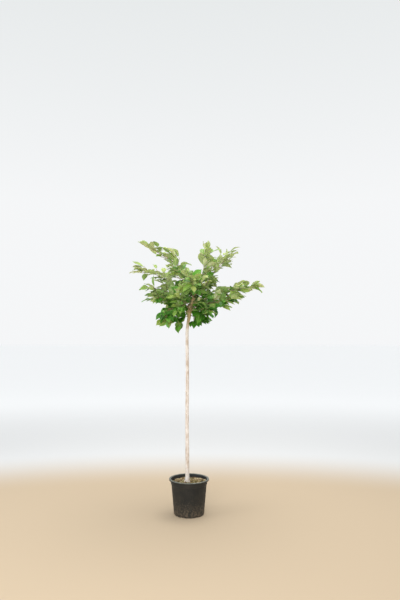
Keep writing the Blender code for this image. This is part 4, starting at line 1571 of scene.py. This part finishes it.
# %% Ranked leaves
FINE_TRIES = 6
FINE_GUARD = GUARD / 2
RANK_OPENING = (38, 66)
RANK_LEVEL = 0.45
RANK_RISE = (-0.35, 0.80)
RANK_DROOP = 0.80
RANK_LEAF = (0.084, 0.116)
RANK_YOUNG = 0.86
RANK_TILT = 0.60
RANK_SPREAD = (0.8, 1.2)
LEVEL_FROM = 1.44
LEVEL_TO = 1.60

# What a leaf grows on: its shoot, the line it stays close to, what it may touch, and its spray's name.
Host = namedtuple("Host", "shoot line beside spray")


def in_the_box(spot):
    """True where a point lies inside the plain model's box."""
    return all(low <= value <= high for low, value, high in zip(plain_box[0], spot, plain_box[1]))


def fits(leaf, host, room):
    """True where a leaf's tip stays inside its mass and its blade touches and hides nothing."""
    root, along, up, length = leaf
    tip = root + along * length
    if off_line(tip, host.line) >= host.shoot.room or not in_the_box(tip):
        return False
    if in_the_way(root, along, length):
        return False
    rest = length * (1 - GUARD_LEAF_START)
    guard = leaf_solid(root + along * length * GUARD_LEAF_START, along, up, rest, 1.0, FINE_GUARD)
    return room.free(guard, host.beside)


def put_leaf(leaf, age, host, room):
    """The leaf in a list once it has its place in the room, or an empty list where it doesn't fit."""
    if not fits(leaf, host, room):
        return []
    room.add(leaf_solid(*leaf), host.spray)
    return [Leaf(*leaf, age, host.shoot, host.spray)]


def flat_share(height):
    """How flat leaves lie at a height: they hang in the shade below, and lie level in the light above."""
    return smooth_step((height - LEVEL_FROM) / (LEVEL_TO - LEVEL_FROM))


def ranked_up(spot, rng):
    """An upper face that looks nearly straight up in the upper head, and outwards in the lower."""
    flat = Z_UP + Vector([rng.uniform(-RANK_TILT, RANK_TILT) for _ in range(3)])
    return tilted_up(spot, rng).normalized().lerp(flat, flat_share(spot.z))


def rank_leaf(spot, tangent, hand, shoot, age, rng):
    """A leaf that lies flat on one hand of its twig, 1 for left and -1 for right, or 0 at the tip."""
    sideways = Z_UP.cross(tangent).normalized() * hand
    opening = math.radians(rng.uniform(*RANK_OPENING) * mix(LEAF_OPENING_YOUNG, 1.0, age)) * abs(hand)
    way = tangent * math.cos(opening) + sideways * math.sin(opening)
    way.z = way.z * RANK_LEVEL - shoot.droop * RANK_DROOP * age * rng.uniform(*LEAF_DROOP_SPREAD)
    way.z += flat_share(spot.z) * rng.uniform(*RANK_RISE)
    length = rng.uniform(*RANK_LEAF) * mix(RANK_YOUNG, 1.0, age)
    return spot, way.normalized(), ranked_up(spot, rng), length


def put_ranks(points, first, step, host, room, rng):
    """Leaves on alternate hands along a twig."""
    total = length_of(points)
    found = []
    distance = first
    hand = rng.choice((-1, 1))
    while distance < total:
        spot = stretch(points, distance, total, total)[0]
        tangent = direction_at(points, min(distance, total - PATH_LOOK * 1.1))
        age = 1 - distance / total
        for _ in range(FINE_TRIES):
            leaf = put_leaf(rank_leaf(spot, tangent, hand, host.shoot, age, rng), age, host, room)
            hand = -hand
            if leaf:
                found += leaf
                break
        distance += step * rng.uniform(*RANK_SPREAD)
    return found


print("ranked leaves are", RANK_LEAF[0] * 1000, "to", RANK_LEAF[1] * 1000, "mm long")

# %% Spurs
SPUR_LENGTH = (0.010, 0.030)
SPUR_ROOT = 0.003
SPUR_BASE = 0.0017
SPUR_TIP = 0.0013
SPUR_LEAVES = 3
SPUR_LEAF = (0.066, 0.096)
SPUR_LEAN = (0.3, 1.0)
SPUR_LIFT = (0.0, 0.5)
SPUR_LEAF_LEAN = (0.3, 0.9)
SPUR_LEAF_APART = 0.002
SPUR_AGE = 0.9


def put_spur(spot, tangent, shoot, room, line, rng, name):
    """One spur and its rosette, or nothing where no leaf finds room."""
    host = Host(shoot, line, ("bough", "stem", shoot.name + " leader", name), name)
    side = tangent.orthogonal().normalized()
    out = Matrix.Rotation(rng.uniform(0, math.tau), 3, tangent) @ side
    along = (out + tangent * rng.uniform(*SPUR_LEAN) + Z_UP * rng.uniform(*SPUR_LIFT)).normalized()
    tip = spot + along * (SPUR_ROOT + rng.uniform(*SPUR_LENGTH))
    found = []
    for number in range(SPUR_LEAVES):
        for _ in range(FINE_TRIES):
            fan = Matrix.Rotation(rng.uniform(0, math.tau), 3, along) @ along.orthogonal().normalized()
            fan.z *= LEAF_FLATTEN
            way = along * rng.uniform(*SPUR_LEAF_LEAN) + fan.normalized()
            way.z -= shoot.droop * rng.uniform(*LEAF_DROOP_SPREAD)
            root = tip - along * SPUR_LEAF_APART * number
            shape = (root, way.normalized(), tilted_up(tip, rng), rng.uniform(*SPUR_LEAF))
            leaf = put_leaf(shape, SPUR_AGE, host, room)
            if leaf:
                found += leaf
                break
    if not found:
        return [], []
    return [Twig([spot, spot.lerp(tip, 0.5), tip], SPUR_BASE, SPUR_TIP, False)], found


print("a spur bears", SPUR_LEAVES, "leaves at most")

# %% Laterals
LATERAL_LONG = 0.085
LATERAL_SHORT = 0.034
LATERAL_OPENING = (34, 62)
LATERAL_RISE = (-0.15, 0.45)
LATERAL_BARE = 0.014
RANK_STEP = 0.024


def put_lateral(leader, share, shoot, room, rng, name):
    """One slim side shoot of the leader with ranked leaves, or nothing where it finds no room."""
    run = length_of(leader)
    spot = stretch(leader, run * share, run, run)[0]
    tangent, side = frames_along(leader)[round(share * (len(leader) - 1))]
    leader_name = shoot.name + " leader"
    host = Host(shoot, leader, (name, leader_name), name)
    for _ in range(FINE_TRIES):
        out = Matrix.Rotation(rng.uniform(0, math.tau), 3, tangent) @ side
        out.z *= LEAF_FLATTEN
        opening = math.radians(rng.uniform(*LATERAL_OPENING))
        along = tangent * math.cos(opening) + out.normalized() * math.sin(opening)
        along.z += rng.uniform(*LATERAL_RISE)
        along.normalize()
        length = mix(LATERAL_LONG, LATERAL_SHORT, share) * rng.uniform(*TWIG_LENGTH_SPREAD)
        tip = spot + (along * TWIG_STRAIGHT + tangent * TWIG_BEND) * length
        points = [spot, spot + along * length / 2, tip]
        stout = [SPUR_BASE + FINE_GUARD] * 3
        guard = swept([spot + along * GUARD_TWIG_START, *points[1:]], stout, TWIG_SIDES)
        if off_line(tip, leader) < shoot.room and room.free(guard, (leader_name,)):
            room.add(swept(points, [SPUR_BASE] * 3, TWIG_SIDES), name)
            found = put_ranks(points, LATERAL_BARE, RANK_STEP, host, room, rng)
            last = rank_leaf(tip, (tip - points[1]).normalized(), 0, shoot, 0.0, rng)
            found += put_leaf(last, 0.0, host, room)
            return [Twig(points, SPUR_BASE, SPUR_TIP, False)], found
    return [], []


print("laterals are", LATERAL_SHORT * 1000, "to", LATERAL_LONG * 1000, "mm long")

# %% Finer growth of one shoot
SPUR_STEP = 0.038
SPUR_FIRST = 0.034
SPUR_LAST = 0.42
SPUR_SPREAD = (0.7, 1.3)
LATERAL_STEP = 0.062
LATERAL_FIRST = 0.16
LATERAL_LAST = 0.97
LATERAL_PLACE = (0.2, 0.8)
FILL_STEP = 0.032
TUFT_FILL_STEP = 0.018
FILL_FIRST = (0.4, 0.9)
# Each shoot's finer growth is seeded with this number and the shoot's own place in the table.
FINE_SEED = 41


def grow_finer(shoot, seed, hosts, room):
    """Spurs, laterals and ranked leaves of one shoot. Hosts are its own twigs of the plain model."""
    rng = random.Random(seed)
    path = shoot_path(shoot)
    total = length_of(path)
    leader = leader_of(shoot)[0]
    twigs = []
    leaves = []
    distance = SPUR_FIRST
    while shoot.share and distance < total * SPUR_LAST:
        spot, tangent = stretch(path, distance, total, total)[0], direction_at(path, distance)
        name = shoot.name + " spur " + str(len(twigs))
        spurs, found = put_spur(spot, tangent, shoot, room, path, rng, name)
        twigs += spurs
        leaves += found
        distance += SPUR_STEP * rng.uniform(*SPUR_SPREAD)
    count = round(length_of(leader) / LATERAL_STEP)
    for number in range(count):
        share = mix(LATERAL_FIRST, LATERAL_LAST, (number + rng.uniform(*LATERAL_PLACE)) / count)
        name = shoot.name + " lateral " + str(number)
        laterals, found = put_lateral(leader, share, shoot, room, rng, name)
        twigs += laterals
        leaves += found
    step = FILL_STEP if shoot.share else TUFT_FILL_STEP
    for number, twig in enumerate(hosts):
        spray = shoot.name + (" leader" if twig.leader else " twig " + str(number - 1))
        host = Host(shoot, leader, (spray, shoot.name + " leader", "bough"), spray)
        leaves += put_ranks(twig.points, step * rng.uniform(*FILL_FIRST), step, host, room, rng)
    return twigs, leaves


print("a spur every", SPUR_STEP * 1000, "mm and a lateral every", LATERAL_STEP * 1000, "mm")

# %% Growing it finer
for number, shoot in enumerate(SHOOTS):
    hosts = [twig for owner, twig in twigs if owner is shoot]
    finer_twigs, finer_leaves = grow_finer(shoot, FINE_SEED + number, hosts, room)
    twigs += [(shoot, twig) for twig in finer_twigs]
    leaves += finer_leaves
print(len(twigs), "twigs and", len(leaves), "leaves in all")

# %% [markdown]
# Twigs are slim, a little zigzag from node to node, and swollen where a leaf joins. Young shoots
# are green to reddish, older ones brown. Each twig is a swept tube whose radius swells at every
# node, and a pointed bud sits in the axil of every leaf.

# %% Lines of the twigs
TWIG_RING_STEP = 0.004
LEAF_NEAR = 0.004
LEAF_ROOTS = np.array([leaf.root for leaf in leaves])


def smooth_line(points, step):
    """A finer line through the points, rounded where they bend."""
    if len(points) < 3:
        return stretch(points, 0.0, length_of(points), step)
    line = []
    for index in range(len(points) - 1):
        before = points[max(index - 1, 0)]
        after = points[min(index + 2, len(points) - 1)]
        start, end = points[index], points[index + 1]
        reach = (end - start).length / 3
        out = start + (end - before).normalized() * reach
        back = end - (after - start).normalized() * reach
        line += interpolate_bezier(start, out, back, end, 12)[:-1]
    line.append(points[-1])
    return stretch(line, 0.0, length_of(line), step)


def leafy_part(points):
    """A twig up to its last leaf, or nothing where it bears none, since bare ends are pruned off."""
    line = np.array(smooth_line(points, TWIG_RING_STEP))
    gaps = np.linalg.norm(LEAF_ROOTS[None] - line[:, None], axis=2).min(axis=1)
    bearing = np.nonzero(gaps < LEAF_NEAR)[0]
    if len(bearing) == 0 or bearing[-1] < 2:
        return []
    return [Vector(point) for point in line[: bearing[-1] + 1]]


lines = [(twig, leafy_part(twig.points)) for _, twig in twigs]
print(sum(not line for _, line in lines), "bare twigs pruned off")

# %% Twigs
TWIG_ROUND = 9
NODE_SWELL = 0.20
SLIM = 0.78
TWIG_END = 0.62
TWIG_END_FROM = 0.7
TWIG_COLOURS = ((0.14, 0.100, 0.045), (0.27, 0.205, 0.095), (0.40, 0.32, 0.17), (0.44, 0.36, 0.23))


def twig_mesh(twig, line):
    """A tube along the line that slims to its end and swells at every node."""
    total = length_of(line)
    count = len(line) - 1
    radii = []
    for index in range(count + 1):
        share = index / count
        node = 0.5 + 0.5 * math.cos(math.tau * share * total / LEAF_SPACING)
        slim = mix(1.0, SLIM, smooth_step(share * 4)) if twig.leader else SLIM
        tip = mix(1.0, TWIG_END, smooth_step((share - TWIG_END_FROM) / 0.3))
        radii.append(mix(twig.base, twig.tip, share) * slim * tip * (1 + NODE_SWELL * node ** 6))
    return swept(line, radii, TWIG_ROUND)


masses = ["foliage_" + shoot.name for shoot in SHOOTS]
twig_solids = [twig_mesh(twig, line) for twig, line in lines if line]
twig_bark_finish = bark_finish("brown twig bark", TWIG_COLOURS, 0.5)
dress(add_piece("twigs", *joined(twig_solids), [twig_bark_finish]), "bark", *masses)

# %% Buds
BUD_LENGTH = 0.0042
BUD_RADIUS = 0.0012
BUD_LIFT = 0.001
BUD_LEAN = 0.4
# Each station has its share of the length and of the radius.
BUD_STATIONS = ((0.0, 0.7), (0.3, 1.0), (0.65, 0.66), (1.0, 0.08))
BUD_COLOURS = ((0.35, (0.12, 0.05, 0.025)), (0.65, (0.25, 0.12, 0.06)))


def plain_finish(name, roughness, size, colours):
    """A finish of two colours in clouds of one size, for small things."""
    skin = Finish(name, roughness)
    skin.link(skin.ramp(skin.grain(size), *colours), "Base Color")
    return skin.material


def bud(leaf):
    """A pointed bud in the leaf's axil, between the leaf and the upright."""
    spot = leaf.root + Z_UP * BUD_LIFT
    along = (leaf.along * BUD_LEAN + Z_UP * (1 - BUD_LEAN)).normalized()
    points = [spot + along * BUD_LENGTH * share for share, _ in BUD_STATIONS]
    return swept(points, [BUD_RADIUS * share for _, share in BUD_STATIONS], 7)


bud_finish = plain_finish("russet bud scales", 0.45, 0.003, BUD_COLOURS)
dress(add_piece("buds", *joined([bud(leaf) for leaf in leaves]), [bud_finish]), "bark", *masses)

# %% [markdown]
# A cherry leaf is an oval with a drawn-out tip and a toothed edge, on a stalk a fifth of its
# length. It is folded a little along its midrib, arches down towards its tip, and is quilted by
# six pairs of side veins. One blade's grid of faces is worked out once. The points of every leaf's
# own blade come from array arithmetic, which makes hundreds of true blades in about a second.

# %% Blade grid
ROWS = 24
# Places of the grid's columns across the blade. The rib lies between the two in the middle.
COLUMNS = (-1.0, -0.5, -0.05, 0.05, 0.5, 1.0)
RIB_COLUMN = 2
# Faces of the grid are of three kinds, each with its own finish.
FACE, BACK, RIB = range(3)


def blade_faces():
    """Corners of each face of one closed blade, and each face's kind."""
    columns = len(COLUMNS)
    inner = columns - 2

    def top(row, column):
        return row * columns + column

    def under(row, column):
        if column in (0, columns - 1) or row in (0, ROWS):
            return top(row, column)
        return (ROWS + 1) * columns + (row - 1) * inner + column - 1

    faces = []
    which = []
    for row in range(ROWS):
        for column in range(columns - 1):
            rib = column == RIB_COLUMN
            corners = [(row, column), (row, column + 1), (row + 1, column + 1), (row + 1, column)]
            faces.append([top(*corner) for corner in corners])
            faces.append([under(*corner) for corner in reversed(corners)])
            which += [RIB if rib else FACE, RIB if rib else BACK]
    return np.array(faces), np.array(which)


print("blade has", len(blade_faces()[0]) * 2, "triangles")

# %% Blade shape
STALK_SHARE = 0.17
BLADE_HALF_WIDTH = 0.248
BLADE_LEAST = 0.0004
BLADE_THICKNESS = 0.00028
YOUNG_WIDTH = 0.86
# The drawn-out tip starts at this share of the length, and takes this share of the width away.
DRAWN_FROM = 0.72
DRAWN_OFF = 0.55
TOOTH = 0.055
TOOTH_BACK = 0.4
VEIN_PAIRS = 6
VEIN_SLANT = 0.22
VEIN_DEPTH = 0.010
VEIN_SWELL = 2.2
RIB_SINK = 0.0006
# Each leaf draws its fold along the rib, its edge's wave, its arch and its roll from these.
FOLD = (0.10, 0.38)
FOLD_YOUNG = 1.3
WAVE = (0.0, 0.05)
WAVE_COUNT = (7, 13)
WAVE_TURN = (0, 6)
ARCH = (0.25, 0.75)
ARCH_TOP = 0.42
ROLL = (-0.35, 0.35)
LEVEL_SHARE = 0.42


def blade_outline(share):
    """Half the blade's width at each share of its length, as a share of the greatest width."""
    oval = np.sin(np.pi * share ** 0.86) ** 0.82
    drawn = 1 - DRAWN_OFF * np.clip((share - DRAWN_FROM) / (1 - DRAWN_FROM), 0, 1) ** 1.2
    return oval * drawn


def levelled(leaf):
    """The leaf's upward direction. High in the head, blades lie flatter than the plain model's."""
    return leaf.up.normalized().lerp(Z_UP, LEVEL_SHARE * flat_share(leaf.root.z))


def blade_points(leaf, rng):
    """All points of one blade in its place: a folded, arched and quilted grid, and its underside."""
    side = leaf.along.cross(levelled(leaf)).normalized()
    up = side.cross(leaf.along).normalized()
    length = leaf.length * (1 - STALK_SHARE)
    start = leaf.root + leaf.along * leaf.length * STALK_SHARE
    share = np.linspace(0, 1, ROWS + 1)[:, None]
    across = np.array(COLUMNS)[None, :]
    outward = np.abs(across)
    teeth = np.where(np.arange(ROWS + 1) % 2 == 1, 1 + TOOTH, 1 - TOOTH * TOOTH_BACK)[:, None]
    edge = np.where(outward > 0.9, teeth, 1.0)
    width = BLADE_HALF_WIDTH * leaf.length * mix(YOUNG_WIDTH, 1.0, leaf.age)
    half = np.maximum(blade_outline(share) * width, BLADE_LEAST) * edge
    fold = rng.uniform(*FOLD) * mix(FOLD_YOUNG, 1.0, leaf.age)
    height = rng.uniform(*WAVE) * length
    wave = height * np.sin(share * rng.uniform(*WAVE_COUNT) + rng.uniform(*WAVE_TURN)) * across ** 2
    arch = rng.uniform(*ARCH)
    veins = np.cos((share - VEIN_SLANT * outward) * VEIN_PAIRS * 2 * np.pi)
    quilt = VEIN_DEPTH * length * veins * outward * (1 - outward) * VEIN_SWELL * np.sin(np.pi * share)
    sideways = half * across * math.cos(fold)
    lift = half * outward * math.sin(fold) + wave * np.sign(across) + quilt
    lift = lift - RIB_SINK * (outward < 0.1)
    angle = arch * (ARCH_TOP - share)
    forward = length * (np.sin(arch * ARCH_TOP) - np.sin(angle)) / arch
    drop = length * (np.cos(angle) - math.cos(arch * ARCH_TOP)) / arch
    roll = rng.uniform(*ROLL) * share
    x = forward - lift * np.sin(angle)
    y = sideways * np.cos(roll)
    z = drop + lift * np.cos(angle) + sideways * np.sin(roll)
    axes = np.array([leaf.along, side, up])
    upper = np.array(start) + np.stack([x, y, z], axis=-1) @ axes
    lower = upper[1:-1, 1:-1] - BLADE_THICKNESS * axes[2]
    return np.concatenate([upper.reshape(-1, 3), lower.reshape(-1, 3)])


print("first leaf's blade has", len(blade_points(leaves[0], random.Random(0))), "points")

# %% [markdown]
# The leaves are not one green. Low and inner ones are old, dark and glossy, the middle of the head
# is fresh green, and each shoot's tip is yellow-green and so thin that daylight shows through. So
# every spray is given an age, from how far along its shoot it sits and how high, and each age has
# its own plain colours for the upper face, the dull underside and the midrib. The turn to paler
# tints with height is partly painted light, for the lit top of the head.

# %% Tints
# Each tint has the colours of its upper face, underside and rib, and how much light it lets by.
# The undersides are paler than the faces, partly as a cherry leaf's are and partly as a painted
# glow of leaves seen against the light, most in the young and tip tints.
TINTS = {
    "old": ((0.042, 0.174, 0.012), (0.105, 0.230, 0.050), (0.16, 0.31, 0.06), 0.04),
    "full": ((0.104, 0.288, 0.030), (0.235, 0.370, 0.115), (0.30, 0.43, 0.12), 0.06),
    "fresh": ((0.200, 0.355, 0.060), (0.360, 0.475, 0.195), (0.40, 0.49, 0.17), 0.08),
    "young": ((0.245, 0.350, 0.068), (0.430, 0.515, 0.235), (0.44, 0.50, 0.20), 0.10),
    "tip": ((0.340, 0.420, 0.110), (0.530, 0.590, 0.320), (0.50, 0.50, 0.24), 0.12),
}
TINT_NAMES = list(TINTS)
# Tints turn fresher from this height, over this rise, and along each shoot. The turn with height
# is partly painted light, which makes the lit top of the head paler.
TINT_FOOT = 1.26
TINT_RISE = 0.26
TINT_TOP = 1.15
TINT_BY_AGE = 0.34
FRESH_AND_LIT_BY_HEIGHT = 0.45
SPRAY_SHIFT = 0.13
LEAF_SHIFT = 0.24


def tint_of(leaf, shift):
    """Which tint a leaf takes, from its place on the shoot, its height and its own shift."""
    height = (leaf.root.z + leaf.along.z * leaf.length - TINT_FOOT) / TINT_RISE
    # Higher leaves take paler tints, partly as painted light for the head's lit top.
    fresh = TINT_BY_AGE * (1 - leaf.age) + FRESH_AND_LIT_BY_HEIGHT * min(max(height, 0.0), TINT_TOP) + shift
    return min(max(int(fresh * len(TINTS)), 0), len(TINTS) - 1)


rng = random.Random(4)
shifts = {}
groups = {name: [] for name in TINT_NAMES}
for leaf in leaves:
    if leaf.spray not in shifts:
        shifts[leaf.spray] = rng.uniform(-SPRAY_SHIFT, SPRAY_SHIFT)
    shift = shifts[leaf.spray] + rng.uniform(-LEAF_SHIFT, LEAF_SHIFT)
    groups[TINT_NAMES[tint_of(leaf, shift)]].append(leaf)
print({name: len(group) for name, group in groups.items()})

# %% Leaf finishes
PATCH_SIZE = 0.030
PATCH_DARK = 0.84
PATCH_LIGHT = 1.14
# Red, green and blue light go this far into a leaf, as shares of the scale in metres.
THROUGH_REACH = (0.6, 1.0, 0.2)
THROUGH_SCALE = 0.003
FACE_SHINE = 0.20
BACK_SHINE = 0.10


def leaf_finish(name, colour, roughness, through, shine=FACE_SHINE):
    """A leaf's skin. Some light passes it, so a leaf against the light glows."""
    skin = Finish(name, roughness)
    dark = tuple(value * PATCH_DARK for value in colour)
    light = tuple(min(value * PATCH_LIGHT, 1.0) for value in colour)
    skin.link(skin.ramp(skin.grain(PATCH_SIZE, 3), (0.35, dark), (0.65, light)), "Base Color")
    skin.shader.inputs["Specular IOR Level"].default_value = shine
    skin.shader.inputs["Subsurface Weight"].default_value = through
    skin.shader.inputs["Subsurface Radius"].default_value = THROUGH_REACH
    skin.shader.inputs["Subsurface Scale"].default_value = THROUGH_SCALE
    return skin.bump(skin.grain(0.0012, 2), 0.00008).material


def finishes_of(name):
    """The three finishes of a tint, in the order of the kinds of face."""
    top, under, rib, through = TINTS[name]
    return [leaf_finish(name + " leaf face", top, 0.36, through),
            leaf_finish(name + " leaf back", under, 0.62, through, BACK_SHINE),
            leaf_finish(name + " leaf rib", rib, 0.5, through)]


print("each tint has a face, a back and a rib")

# %% Leaves
def make_leaves(name, group, rng):
    """All leaves of one tint as one mesh, from the same faces again and again."""
    one_faces, one_which = blade_faces()
    clouds = [blade_points(leaf, rng) for leaf in group]
    size = len(clouds[0])
    faces = np.concatenate([one_faces + size * number for number in range(len(clouds))])
    which = np.tile(one_which, len(clouds))
    return add_piece("leaves_" + name, np.concatenate(clouds), faces.tolist(), finishes_of(name), which)


rng = random.Random(9)
for name, group in groups.items():
    if group:
        dress(make_leaves(name, group, rng), "leaf", *masses)

# %% Leaf stalks
STALK_RADIUS = 0.00065
STALK_ROUND = 4
STALK_OVERLAP = 0.03
STALK_SAG = 0.012
STALK_TAPER = (1.5, 1.0, 0.9)
STALK_COLOURS = ((0.35, (0.30, 0.30, 0.09)), (0.65, (0.42, 0.30, 0.12)))


def stalk(leaf):
    """The leaf's stalk, from its twig to the blade, with a slight sag."""
    end = leaf.root + leaf.along * leaf.length * (STALK_SHARE + STALK_OVERLAP)
    middle = leaf.root.lerp(end, 0.5) - Z_UP * leaf.length * STALK_SAG
    return swept([leaf.root, middle, end], [STALK_RADIUS * share for share in STALK_TAPER], STALK_ROUND)


stalk_finish = plain_finish("leaf stalk", 0.5, 0.008, STALK_COLOURS)
dress(add_piece("leaf_stalks", *joined([stalk(leaf) for leaf in leaves]), [stalk_finish]), "leaf", *masses)

# %% [markdown]
# Last, the size of the plain model is written out. The dressed one may stand a little proud of
# it, as leaves do, and must not be of another size.

# %% Size of the plain model
print("plain", plain_box)
